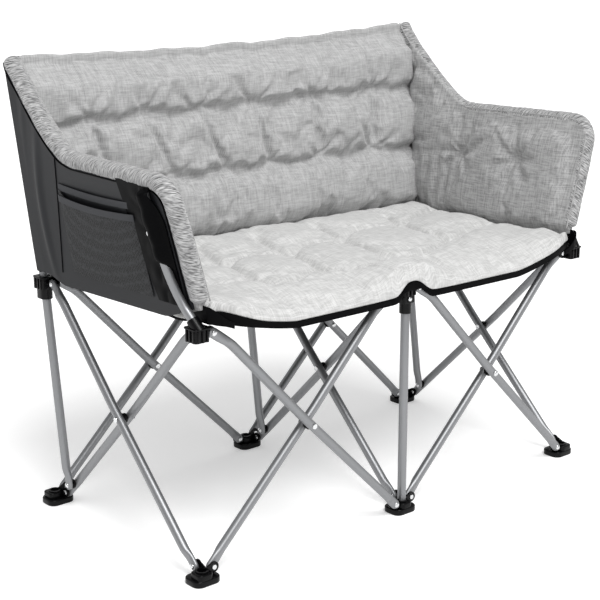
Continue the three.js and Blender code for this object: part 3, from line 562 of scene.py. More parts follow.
# ---------------------------------------------------------------- sizes that a user may change
class LoveseatSizes(bpy.types.PropertyGroup):
    neck_rise: bpy.props.FloatProperty(
        name="Neck rise", description="Height of the bend below each hub", default=0.0065, subtype="DISTANCE"
    )
    neck_length: bpy.props.FloatProperty(
        name="Neck length", description="Distance of the bend from the hub pin", default=0.042, subtype="DISTANCE"
    )
    swell_limit: bpy.props.FloatProperty(
        name="Swell limit", description="How far the stuffing may push the cloth", default=0.014, subtype="DISTANCE"
    )


class LoveseatColours(bpy.types.PropertyGroup):
    floor: bpy.props.FloatVectorProperty(
        name="Floor",
        description="Colour of the paper under the sofa",
        subtype="COLOR",
        size=4,
        default=linear("#f4f4f4"),
    )


# ---------------------------------------------------------------- tubes
def pin_end():
    """The flattened end of a tube as rings of place, half width, half thickness and shift, from its round tip."""
    half = END_THICKNESS / 2
    shift = half - TUBE
    rings = []
    for angle in (8, 25, 45, 68, 90):
        wide = END_HALF * math.sin(math.radians(angle))
        thick = half * (0.72 + 0.28 * wide / END_HALF)
        rings.append((-END_HALF * math.cos(math.radians(angle)), wide, thick, shift))
    rings.append((FLAT_END, END_HALF, half, shift))
    for share in (0.25, 0.5, 0.75, 1.0):
        ease = share * share * (3 - 2 * share)
        wide, thick = (size + (TUBE - size) * ease for size in (END_HALF, half))
        rings.append((FLAT_END + FLARE * share, wide, thick, shift * (1 - ease)))
    return rings


class LegTubes(bpy.types.Operator):
    """Fourteen leg tubes with flattened ends, a neck below the hub and rivets at both ends"""

    bl_idname = "loveseat.leg_tubes"
    bl_label = "Leg tubes"

    def execute(self, context):
        sizes = context.scene.loveseat_sizes
        _name, foot, hub, _outward = scissor_legs("front_left")[0]
        model = self.model((hub - foot).length, sizes.neck_rise, sizes.neck_length)
        rivet = rivet_model(RIVET_SEAT, -TUBE - LUG - 2 * GAP)
        for name in SCISSORS:
            for leg, foot, hub, outward in scissor_legs(name):
                piece = copy_of(model, leg.replace("_leg_", "_tube_"), leg_matrix(foot, hub, outward))
                settle(piece, leg, "steel", [leg])
                turn = turned_to(outward)
                heads = [copy_of(rivet, "head", Matrix.Translation(at) @ turn) for at in (foot, hub)]
                settle(joined(heads, leg.replace("_leg_", "_rivets_")), leg, "rivet")
        for used in (model, rivet):
            bpy.data.objects.remove(used)
        return {"FINISHED"}

    def model(self, length, rise, neck):
        """A leg up the Z axis: straight, then rising to its bend and down again to the hub pin."""
        peak = length - neck
        start = length / 2 + 4 * END_HALF
        bend = 0.012

        def crown(at):
            if at < start:
                return 0.0
            if at < peak:
                return rise * (at - start) / (peak - start)
            return rise * (length - at) / neck

        foot_end = pin_end()
        hub_end = [(length - at, *size) for at, *size in reversed(foot_end)]
        if hub_end[0][0] < peak + bend:
            hub_end = hub_end[1:]
        middle = [length * 0.3, start, *(peak + np.linspace(-bend, bend, 7))]
        turn = (rise / (peak - start) + rise / neck) / (4 * bend)
        rings = []
        for at, wide, thick, side in foot_end + [(at, TUBE, TUBE, 0.0) for at in middle] + hub_end:
            up = crown(at) - turn * max(0.0, bend - abs(at - peak)) ** 2
            rings.append((up, side, at, wide, thick))
        return ring_loft("leg", rings)


class PivotRivets(bpy.types.Operator):
    """Seven long rivets where the tubes cross, and the nylon spacers round them"""

    bl_idname = "loveseat.pivot_rivets"
    bl_label = "Pivot rivets"

    def execute(self, context):
        reach = LEG_PLANE + TUBE + GAP
        model = rivet_model(reach, -reach, head=0.0056, dome=0.003)
        for name in SCISSORS:
            leg, foot, hub, outward = scissor_legs(name)[0]
            centre = (foot + hub) / 2 - outward * LEG_PLANE
            matrix = Matrix.Translation(centre) @ turned_to(-outward)
            settle(copy_of(model, f"{name}_crossing_rivet", matrix), leg, "rivet", [f"{name}_pivot"])
        bpy.data.objects.remove(model)
        for name, node in frame["nodes"].items():
            if name.endswith("spacer"):
                node.data.materials.clear()
                node.data.materials.append(finish("nylon"))
        return {"FINISHED"}


def post_y(height):
    return BAY + (height - COLLAR_MIDDLE) * POST_SLOPE


class Posts(bpy.types.Operator):
    """Three leaning back posts and the upright front post"""

    bl_idname = "loveseat.posts"
    bl_label = "Posts"

    def execute(self, context):
        inwards = Vector((-1, 0, 0))
        for column, x in COLUMNS.items():
            start = place(x, RIVET_BACK, RIVET_HEIGHT)
            end = place(x, post_y(POST_TOPS[column]), POST_TOPS[column])
            name = f"back_{column}_post"
            piece = self.model((end - start).length)
            along = (end - start).normalized()
            turn = Matrix((inwards.cross(along), inwards, along)).transposed().to_4x4()
            piece.data.transform(Matrix.Translation(start) @ turn)
            piece.name = f"{name}_tube"
            rivet = rivet_model(RIVET_SEAT, TUBE - 2 * LEG_PLANE - 2 * TUBE - GAP)
            rivet.data.transform(Matrix.Translation(start) @ turned_to(inwards))
            rivet.name = f"{name}_rivet"
            settle(piece, name, "steel", [name])
            settle(rivet, name, "rivet")
        low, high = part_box("front_centre_post")
        cuts = ((0, 0.002), (0.0006, 0.0006), (0.002, 0))
        ends = [(low.z + at, TUBE - cut) for at, cut in cuts]
        ends += [(high.z - at, TUBE - cut) for at, cut in reversed(cuts)]
        rings = [(0, FRONT_ROW, at, radius, radius) for at, radius in ends]
        piece = ring_loft("front_centre_post_tube", rings)
        settle(piece, "front_centre_hub", "steel", ["front_centre_post"])
        return {"FINISHED"}

    def model(self, length):
        rings = [(0, side, at, wide, thick) for at, wide, thick, side in pin_end()]
        for angle in (0, 25, 50, 80):
            wide = TUBE * math.cos(math.radians(angle))
            rings.append((0, 0, length - TUBE + TUBE * math.sin(math.radians(angle)), wide, wide))
        return ring_loft("post", rings)


# ---------------------------------------------------------------- moulded hubs and feet
WAYS = ((1, 0), (-1, 0), (0, 1), (0, -1))
# The ways in which legs leave each hub and foot
HUB_LUGS = {
    "front_left": ((1, 0), (0, 1)),
    "front_centre": ((-1, 0), (1, 0), (0, 1)),
    "front_right": ((-1, 0), (0, 1)),
    "back_left": ((1, 0), (0, -1)),
    "back_centre": ((-1, 0), (1, 0), (0, -1)),
    "back_right": ((-1, 0), (0, -1)),
}


def lug_model(direction, low, high, height, root=None):
    """A flat strap that ends in a round eye at the pin; root is its height at the middle of the moulding."""
    dx, dy = direction
    half = LUG / 2
    if dy == 0:
        tip = dx * PIN_INSET
        strap = box((min(0, tip), -half, height + low), (max(0, tip), half, height + high))
        eye = rod(LUG_RADIUS, (tip, -half, height), (tip, half, height), 28)
    else:
        tip = dy * PIN_INSET
        left, right = LEG_PLANE - half, LEG_PLANE + half
        strap = box((left, min(0, tip), height + low), (right, max(0, tip), height + high))
        eye = rod(LUG_RADIUS, (left, tip, height), (right, tip, height), 28)
    if root is not None:
        co = points_of(strap)
        inner = np.abs(co[:, 0] * dx + co[:, 1] * dy) < 0.001
        co[inner & (co[:, 2] > height), 2] = root
        set_points(strap, co)
    return united([strap, eye], "lug")


class Feet(bpy.types.Operator):
    """Six moulded feet with a thick base, a block on the sides without legs, a socket and eared lugs"""

    bl_idname = "loveseat.feet"
    bl_label = "Feet"

    def execute(self, context):
        for key, lugs in HUB_LUGS.items():
            row, column = key.split("_")
            inward = 0.004 if row == "front" else -0.004
            base = rounded_plate(0.053, 0.043, 0.014, 0.0, 0.011, 0.0018, inward)
            moved(base, 0.004 * sum(dx for dx, _dy in lugs), 0, 0)
            east, west, north, south = (0.0135 if way in lugs else 0.0165 for way in WAYS)
            block = rounded_plate(
                west + east, south + north, 0.008, 0.009, 0.021, 0.0020, (north - south) / 2
            )
            moved(block, (east - west) / 2, 0, 0)
            parts = [base, block, rod(0.0112, (0, 0, 0.010), (0, 0, 0.0232), 36)]
            parts += [lug_model(direction, -0.016, LUG_RADIUS, FOOT_PIN, 0.0215) for direction in lugs]
            piece = united(parts, f"{key}_foot_moulding")
            combine(piece, rod(POST_BORE, (0, 0, 0.006), (0, 0, 0.05), 36), "DIFFERENCE")
            bevel(piece, 0.0007, 2, 50)
            moved(piece, COLUMNS[column], ROWS[row], 0)
            body = "base" if key == "front_centre" else f"{key}_foot"
            settle(piece, body, "nylon", [f"{key}_foot"], 30)
        return {"FINISHED"}


class Hubs(bpy.types.Operator):
    """Six moulded hubs with a top plate, ribbed block, lugs and a collar or an arm socket"""

    bl_idname = "loveseat.hubs"
    bl_label = "Hubs"

    def execute(self, context):
        # The back posts lean and slide, so their bore is a slot
        slope = POST_SLOPE * (COLLAR_MIDDLE - HUB_PIN + 0.030)
        bore = TUBE + GAP + 0.0006
        depth = 2 * (bore + slope) + 0.0044
        rivet_drop = 0.018
        rivet_front = -0.0122
        for key, lugs in HUB_LUGS.items():
            row, column = key.split("_")
            rear = 0.019 if row == "back" else HUB_HALF
            middle = (rear - HUB_HALF) / 2
            parts = [
                rounded_plate(2 * HUB_HALF, rear + HUB_HALF, 0.004, -0.012, 0.0096, 0.001, middle),
                rounded_plate(0.034, 0.034, 0.006, 0.009, 0.012, 0.001),
            ]
            parts += [lug_model(direction, -LUG_RADIUS, LUG_RADIUS, 0.0) for direction in lugs]
            for direction in WAYS:
                if direction not in lugs:
                    parts += self.ribs(direction, rear if direction == (0, 1) else HUB_HALF)
            if row == "back":
                collar = (2 * bore + 0.0048, depth + 0.0048, bore + 0.002, -0.030, -0.0114)
                parts.append(rounded_plate(*collar, 0.0, 0.0022))
                hole = lambda: rounded_plate(2 * bore, depth, bore - 0.0006, -0.05, 0.03, 0.0, 0.0022)
            elif column == "centre":
                parts.append(rounded_plate(0.029, 0.0175, 0.004, -0.0262, -0.0114, 0.0012, -0.0025))
                parts.append(rod(0.0108, (0, 0, -0.0450), (0, 0, -0.0250)))
                parts.append(rod(0.0068, (0, rivet_front, -rivet_drop), (0, -0.009, -rivet_drop), 28))
                hole = lambda: rod(POST_BORE, (0, 0, -0.05), (0, 0, 0.0073))
            else:
                root, ahead = arm_points(1 if column == "right" else -1)[:2]
                axis = (ahead - root).normalized()
                root = root - Vector((COLUMNS[column], FRONT_ROW, HUB_PIN))
                parts.append(rod(0.0103, root - axis * 0.007, root + axis * 0.016, 28))
                hole = lambda: rod(0.0081, root, root + axis * 0.03, 28)
            piece = united(parts, f"{key}_hub_moulding")
            combine(piece, hole(), "DIFFERENCE")
            bevel(piece, 0.0006, 2, 50)
            moved(piece, COLUMNS[column], ROWS[row], HUB_PIN)
            settle(piece, f"{key}_hub", "nylon", [f"{key}_hub"], 30)
        cap = rivet_model(0.0, -0.004, head=0.0042, dome=0.0022)
        at = Matrix.Translation((0, FRONT_ROW + rivet_front, HUB_PIN - rivet_drop))
        cap.data.transform(at @ Matrix.Rotation(math.radians(90), 4, "X"))
        cap.name = "front_centre_hub_rivet"
        settle(cap, "front_centre_hub", "rivet")
        return {"FINISHED"}

    def ribs(self, direction, face):
        turn = Matrix.Rotation(math.atan2(direction[1], direction[0]), 4, "Z")
        made = []
        for side in (-0.009, 0, 0.009):
            rib = box((face - 0.002, side - 0.002, -0.0115), (face + 0.0022, side + 0.002, 0.0093))
            bevel(rib, 0.0008, 2)
            rib.data.transform(turn)
            made.append(rib)
        return made


# ---------------------------------------------------------------- cloth surfaces, all from the front row
SIDE_FRONT = -0.012
SIDE_BOTTOM = 0.450
ARM_TOP = 0.684
SIDE_BACK_TOP = 0.832
SIDE_KINK = 0.310
SIDE_ROOM = 0.016
# The round front top corner of a side, in depth and height
CORNER_RUN = 0.052
CORNER_DROP = 0.050
# Height and depth of the arm tubes above the hubs
ARM_LINE = [(0.500, 0.033), (0.540, 0.043), (0.600, 0.050), (0.650, 0.053), (0.668, 0.054)]
SEAT_OVERHANG = 0.026
SEAT_HALF = 0.442
SEAT_SPLIT = 0.230
SEAT_EDGE = 0.330
BACK_BOTTOM = 0.452
BACK_CLOTH_BOTTOM = 0.446
BACK_TOP = 0.838
TOP_HEM = 0.016
SIDE_TUFTS = [(0.150, 0.590), (0.300, 0.586)]
ROLL = 0.015
ROLL_INSET = 0.0125
ROLL_OUT = -0.0085
PAD_INSET = 0.007


def swell(value):
    return np.sin(np.clip(value, 0, 1) * math.pi / 2) ** 2


def dent(distance, half):
    return np.exp(-((distance / half) ** 2))


def back_front(height):
    """Depth of the front face of the back sheet."""
    return post_y(height) - TUBE - GAP - SHEET


SEAT_BACK = back_front(BACK_BOTTOM) - 0.010 - 4 * SHEET_GAP


def side_back(z):
    """Half the sofa's width at the back edge of the sides."""
    return 0.474 + (z - SIDE_BOTTOM) * 0.046


def side_face(y, z):
    """Distance of a side's outer face from the middle."""
    share = np.clip((post_y(SIDE_BOTTOM) - y) / (post_y(SIDE_BOTTOM) - SIDE_FRONT), 0, 1)
    front = 0.459 + (z - 0.470) * 0.285
    return side_back(z) + (front - side_back(z)) * share


def side_top(y):
    run = back_front(SIDE_BACK_TOP) - SIDE_ROOM - SIDE_KINK
    rising = ARM_TOP + (SIDE_BACK_TOP - ARM_TOP) * np.clip((y - SIDE_KINK) / run, 0, 1) ** 1.3
    corner = np.clip((SIDE_FRONT + CORNER_RUN - y) / CORNER_RUN, 0, 1)
    level = ARM_TOP - CORNER_DROP * (1 - np.sqrt(1 - corner**2))
    return np.where(y > SIDE_KINK, rising, level)


def side_point(share, rise, inset=0.0):
    """Depth, height, and the top and bottom edge there; share runs from the back edge to the front edge."""
    ahead = SIDE_FRONT + inset
    back_top_at = back_front(SIDE_BACK_TOP) - SIDE_ROOM
    top = side_top(back_top_at + (ahead - back_top_at) * np.maximum(share, 0)) - inset
    bottom = SIDE_BOTTOM + 0.013 * np.clip((share - 0.9) / 0.1, 0, 1)
    z = bottom + (top - bottom) * rise
    back = back_front(z) - SIDE_ROOM
    y = np.where(share < 0, back_front(z) + SHEET, back + (ahead - back) * share)
    return y, z, top, bottom


def hub_share(distance, fall):
    return (1 - np.clip((np.abs(distance) - 0.036) / fall, 0, 1)) ** 1.25


def seat_underside(x, y):
    rim = 1 - swell((y + SEAT_OVERHANG) / 0.013)
    middle = hub_share(x, 0.070) * (1 - rim) + 0.71 * rim * (1 - swell((np.abs(x) - 0.006) / 0.042))
    share_x = np.maximum(middle, hub_share(BAY - np.abs(x), 0.150))
    share_y = np.maximum(hub_share(y, 0.048), hub_share(BAY - y, 0.048))
    roll = swell((y + SEAT_OVERHANG) / (0.100 + SEAT_OVERHANG))
    front = -0.018 + 0.022 * roll
    base = HUB_PIN + front + (0.012 - front) * np.clip(y / BAY, 0, 1)
    return base + (HUB_TOP + 0.0012 - base) * share_x * share_y


def seat_sheet_top(x, y):
    hem = 0.008 + np.where(x < 0, 0.010, 0.002) * swell((np.abs(x) - 0.330) / 0.110)
    return seat_underside(x, y) + SHEET + hem * (1 - swell((y + SEAT_OVERHANG) / 0.024))


def seat_pull(x, y):
    """The front hem is drawn back over the centre hub, and its corners to a round outline."""
    over = np.clip((np.abs(x) - SEAT_HALF + 0.075) / 0.075, 0, 1)
    corner = 0.018 * over**2 * np.clip((0.050 - y) / (0.050 + SEAT_OVERHANG), 0, 1)
    return corner + 0.007 * dent(x, 0.040) * np.clip((0.030 - y) / (0.030 + SEAT_OVERHANG), 0, 1)


def seat_half(y):
    """Half the width of the seat, which widens towards the back as the sides do."""
    return SEAT_HALF * (1 + 0.034 * swell(y / SEAT_BACK))


def arm_points(sign):
    """Centre line of an arm tube, in the scene."""
    root = Vector((BAY + 0.004, -0.006, HUB_TOP))
    neck = Vector((BAY + 0.011, 0.018, 0.467))
    line = [root, root.lerp(neck, 0.6), neck]
    for height, back in ARM_LINE:
        line.append(Vector((float(side_face(back, height)) + SHEET + 0.001 + ARM_TUBE, back, height)))
    return [Vector((sign * p.x, p.y + FRONT_ROW, p.z)) for p in line]


class ArmTubes(bpy.types.Operator):
    """Two bent tubes from the front corner hubs up the outside of the sides"""

    bl_idname = "loveseat.arm_tubes"
    bl_label = "Arm tubes"

    def execute(self, context):
        for side, sign in SIDES:
            piece = tube_path(f"{side}_arm_bend", arm_points(sign)[:-1], ARM_TUBE)
            settle(piece, f"front_{side}_hub", "steel", [f"{side}_arm_tube"])
        return {"FINISHED"}


# ---------------------------------------------------------------- padded cloth
def hang(co):
    """The slack shell hangs a few millimetres lower at the left back corner and stands higher at the right."""
    rise = np.clip((co[:, 2] - SIDE_BOTTOM) / 0.390, 0, 1) ** 1.5
    co[:, 2] += rise * np.where(co[:, 0] > 0, 0.0135, 0.0100) * co[:, 0] / 0.478
    return co


def grid(columns, rows):
    deselect()
    bpy.ops.mesh.primitive_grid_add(x_subdivisions=columns, y_subdivisions=rows, size=2)
    return bpy.context.object


def sheet_form(name, columns, rows, face, front, back):
    """A closed form from a grid extruded to a slab: face gives the points of either side from u, v and its offset."""
    piece = grid(columns, rows)
    edit_all(piece)
    bpy.ops.mesh.extrude_region_move(TRANSFORM_OT_translate={"value": (0, 0, -1)})
    edit_done()
    co = points_of(named(piece, name))
    u, v = (co[:, 0] + 1) / 2, (co[:, 1] + 1) / 2
    rear = co[:, 2] < -0.5
    co = face(u, v, np.where(rear, back, front))
    co[:, 1] += FRONT_ROW
    set_points(piece, hang(co))
    return face_outwards(piece), u, v, rear


def cloth_form(name, columns, rows, face, front, back, body, finish_name, replaces=(), soft=False):
    """A sheet whose two sides lie at the offsets front and back, settled on its body."""
    piece = sheet_form(name, columns, rows, face, front, back)[0]
    if soft:
        subdivided(piece)
    return settle(piece, body, finish_name, replaces, 50)


STUFFING_FRAMES = 20


def stuffed(piece, sewn, shrink, cap):
    """Lets the stuffing push the cloth out between its sewn places, and keeps every point within the cap."""
    before = points_of(piece)
    group = piece.vertex_groups.new(name="sewn")
    for index, weight in enumerate(sewn):
        if weight > 0:
            group.add([index], float(weight), "REPLACE")
    modifier = piece.modifiers.new("stuffing", "CLOTH")
    cloth = modifier.settings
    cloth.quality = 5
    cloth.mass = 0.2
    cloth.use_pressure = True
    cloth.uniform_pressure_force = 2.5
    cloth.shrink_min = shrink
    cloth.vertex_group_mass = "sewn"
    cloth.pin_stiffness = 1.0
    cloth.tension_stiffness = 12
    cloth.compression_stiffness = 12
    cloth.bending_stiffness = 0.4
    cloth.effector_weights.gravity = 0
    modifier.collision_settings.use_collision = False
    modifier.point_cache.frame_start = 1
    modifier.point_cache.frame_end = STUFFING_FRAMES
    scene = bpy.context.scene
    for number in range(1, STUFFING_FRAMES + 1):
        scene.frame_set(number)
    shape = piece.evaluated_get(bpy.context.evaluated_depsgraph_get())
    after = np.empty(len(shape.data.vertices) * 3)
    shape.data.vertices.foreach_get("co", after)
    after = after.reshape(-1, 3)
    only(piece)
    bpy.ops.object.modifier_remove(modifier=modifier.name)
    scene.frame_set(1)
    move = after - before
    length = np.linalg.norm(move, axis=1)
    scale = np.where(length > cap, cap / np.maximum(length, 1e-9), 1.0)
    set_points(piece, before + move * scale[:, None])
    piece.vertex_groups.clear()


def subdivided(piece):
    modifier = piece.modifiers.new("soft", "SUBSURF")
    modifier.levels = modifier.render_levels = 1
    apply_modifiers(piece)


def beside(x, y, start, run):
    """How far along the run from the start each point lies, from 0 to 1, and its distance from there."""
    (ax, ay), (dx, dy) = start, run
    t = np.clip(((x - ax) * dx + (y - ay) * dy) / (dx**2 + dy**2), 0, 1)
    return t, np.hypot(x - ax - t * dx, y - ay - t * dy)


def near_line(x, y, start, end, half):
    """A soft trough along the straight line between two points."""
    return dent(beside(x, y, start, (end[0] - start[0], end[1] - start[1]))[1], half)


def near_path(x, y, path, half):
    return np.max([near_line(x, y, a, b, half) for a, b in zip(path, path[1:])], axis=0)


def fading(x, y, start, run, half):
    """A crease that is deepest at its start and fades along its run."""
    t, away = beside(x, y, start, run)
    return dent(away, half) * (1 - t) ** 0.8


def from_tufts(x, y, tufts):
    """Distance from the nearest tuft."""
    return np.min([np.hypot(x - tx, y - ty) for tx, ty in tufts], axis=0)


def rays(x, y, tufts, count, reach):
    """Small folds that fan out from each tuft: ridges positive, troughs negative."""
    total = np.zeros_like(x)
    for index, (tx, ty) in enumerate(tufts):
        away = np.hypot(x - tx, y - ty) / reach
        turn = np.arctan2(y - ty, x - tx)
        total += np.cos(count * turn + 1.7 * index + 0.6 * np.sin(2 * turn)) * away * np.exp(1 - away * away)
    return total


def ripple(x, y, size):
    """Shallow uneven waves, about size apart."""
    a, b = x / size, y / size
    waves = np.sin(5.1 * a + 1.9 * np.sin(2.3 * b)) + np.sin(4.3 * b + 2.2 * np.sin(1.9 * a) + 1.0)
    return (waves + np.sin(3.7 * (a + b))) / 3


def rim_of(u, v):
    return np.minimum(np.minimum(u, 1 - u), np.minimum(v, 1 - v)) < 0.004


SEAT_TUFTS = [
    (-0.228, 0.232), (-0.085, 0.215), (0.075, 0.248), (0.262, 0.278),
    (-0.255, 0.105), (-0.110, 0.103), (0.052, 0.088), (0.255, 0.130),
]
# Sewn lines of the quilting, in millimetres
SEAT_QUILT = [
    [(-185, 360), (-215, 285), (-228, 232), (-235, 170), (-255, 105)],
    [(-45, 365), (-70, 290), (-85, 215), (-92, 160), (-110, 103)],
    [(110, 365), (95, 300), (75, 248), (60, 170), (52, 88)],
    [(300, 365), (285, 320), (262, 278), (250, 200), (255, 130)],
    [(-228, 232), (-195, 246), (-150, 256), (-115, 240), (-85, 215)],
    [(-85, 215), (-45, 245), (0, 262), (40, 262), (75, 248)],
    [(75, 248), (120, 285), (170, 300), (220, 295), (262, 278)],
    [(262, 278), (310, 305), (365, 325), (430, 345)],
    [(-228, 232), (-290, 262), (-350, 268), (-425, 250)],
    [(-255, 105), (-235, 78), (-195, 76), (-150, 95), (-110, 103)],
    [(-110, 103), (-75, 72), (-30, 62), (15, 72), (52, 88)],
    [(52, 88), (100, 80), (150, 88), (205, 112), (255, 130)],
    [(255, 130), (290, 140), (345, 165), (420, 170)],
    [(-255, 105), (-310, 125), (-370, 130), (-430, 115)],
]
SEAT_QUILT = [[(x / 1000, y / 1000) for x, y in path] for path in SEAT_QUILT]
STITCH = 0.006


class SeatPads(bpy.types.Operator):
    """The quilted seat pad, stuffed as one and cut at mid depth where the seat folds, and the sheets under it"""

    bl_idname = "loveseat.seat_pads"
    bl_label = "Seat pads"

    def execute(self, context):
        cap = context.scene.loveseat_sizes.swell_limit

        def at(u, v):
            across = 2 * u - 1
            y = -SEAT_OVERHANG + (SEAT_BACK + SEAT_OVERHANG) * v * (0.6 + 0.4 * v)
            return seat_half(y) * (1.15 * across - 0.15 * across**3), y

        def face(u, v, full):
            x, y = at(u, v)
            z = seat_sheet_top(x, y) + SHEET_GAP + full * self.thickness(x, y)
            return np.stack([x, y + seat_pull(x, y), z], 1)

        pad, u, v, rear = sheet_form("seat_pad", 160, 84, face, 1, 0)
        x, y = at(u, v)
        sewn = np.maximum(rear.astype(float), rim_of(u, v))
        for path in SEAT_QUILT:
            sewn = np.maximum(sewn, 0.9 * (near_path(x, y, path, 0.0055) > 0.5))
        sewn = np.maximum(sewn, from_tufts(x, y, SEAT_TUFTS) < STITCH)
        stuffed(pad, sewn, -0.04, 0.6 * cap)
        subdivided(pad)
        pad.name = "seat_pad_front_half"
        back_half = copy_of(pad, "seat_pad_rear_half")
        # The rear edge stays level on the back hub when the seat folds, so that it does not press through the back
        edge = copy_of(back_half, "seat_pad_rear_edge")
        self.cut(pad, SEAT_SPLIT - SHEET_GAP, 1)
        self.cut(back_half, SEAT_SPLIT + SHEET_GAP, -1)
        self.cut(back_half, SEAT_EDGE, 1)
        self.cut(edge, SEAT_EDGE, -1)
        settled = (
            (edge, "back_centre_hub", []),
            (pad, "seat_front", ["seat_pad_front"]),
            (back_half, "seat_back", ["seat_pad_back"]),
        )
        for piece, body, nodes in settled:
            settle(piece, body, "seat_linen", nodes, 50)
            squash_width(piece)
        self.sheet("front", -SEAT_OVERHANG, SEAT_SPLIT - SHEET_GAP)
        self.sheet("back", SEAT_SPLIT + SHEET_GAP, SEAT_BACK)
        return {"FINISHED"}

    def thickness(self, x, y):
        edge = np.minimum(np.minimum(seat_half(y) - np.abs(x), y + SEAT_OVERHANG), SEAT_BACK - y)
        thick = 0.005 + 0.022 * np.sqrt(1 - (1 - np.clip(edge / 0.028, 0, 1)) ** 2)
        tuft = dent(from_tufts(x, y, SEAT_TUFTS), 0.020)
        quilt = np.max([near_path(x, y, path, 0.009) for path in SEAT_QUILT], axis=0)
        fine = 0.0012 * rays(x, y, SEAT_TUFTS, 6, 0.030) + 0.0010 * ripple(x, y, 0.12)
        return thick + swell(edge / 0.030) * (fine - 0.017 * tuft - 0.0130 * quilt * (1 - tuft))

    def cut(self, piece, at, way):
        """Cuts off what lies behind the place, or before it where way is -1."""
        edit_all(piece)
        where = (0, FRONT_ROW + at, 0)
        bpy.ops.mesh.bisect(plane_co=where, plane_no=(0, way, 0), use_fill=True, clear_outer=True)
        edit_done()

    def sheet(self, half, first, last):
        def face(u, v, top):
            y = first + (last - first) * v * (0.5 + 0.5 * v)
            x = seat_half(y) * (2 * u - 1)
            z = np.where(top, seat_sheet_top(x, y), seat_underside(x, y))
            return np.stack([x, y + seat_pull(x, y), z], 1)

        name, body, nodes = f"seat_cloth_{half}", f"seat_{half}", [f"seat_sheet_{half}"]
        piece = cloth_form(name, 120, 36, face, 1, 0, body, "black_oxford", nodes)
        squash_width(piece)


UPPER_TUFTS = [(x, 0.715) for x in (-0.356, -0.233, -0.112, 0.024, 0.178, 0.345)]
LOWER_TUFTS = [(x, 0.592) for x in (-0.320, -0.187, -0.057, 0.054, 0.187, 0.339)]
CHANNELS = (UPPER_TUFTS, LOWER_TUFTS)
# Creases from each upper (0) or lower (1) tuft: depth, tuft, way of the lean, run across and up, half width
BACK_CREASES = [
    (0.0065, 0, 1, -0.022, 0.085, 0.008),
    (0.0060, 0, 1, 0.040, 0.070, 0.009),
    (0.0045, 0, 1, 0.042, -0.060, 0.008),
    (0.0045, 1, 1, -0.036, 0.062, 0.008),
    (0.0060, 1, -1, 0.030, -0.080, 0.008),
    (0.0040, 1, 1, -0.020, -0.055, 0.007),
]


def back_half_width(z):
    return side_back(z) - 3 * SHEET_GAP


def back_top(u):
    """The top edge sags between its rounded corners and is tented by the middle post."""
    ends = dent(np.minimum(u, 1 - u), 0.014)
    waves = 0.0010 * np.sin(41 * u) + 0.0007 * np.sin(97 * u + 1.0)
    return BACK_TOP - 0.012 * np.sin(math.pi * u) + 0.003 * dent(u - 0.5, 0.035) - 0.008 * ends + waves


def garland(x, tufts):
    """A sewn channel, highest at its tufts and sagging a little between them."""
    near = np.min(np.abs(x[:, None] - np.array(tufts)[None, :, 0]), axis=1)
    return tufts[0][1] - 0.006 * np.clip(near / 0.06, 0, 1) ** 1.2


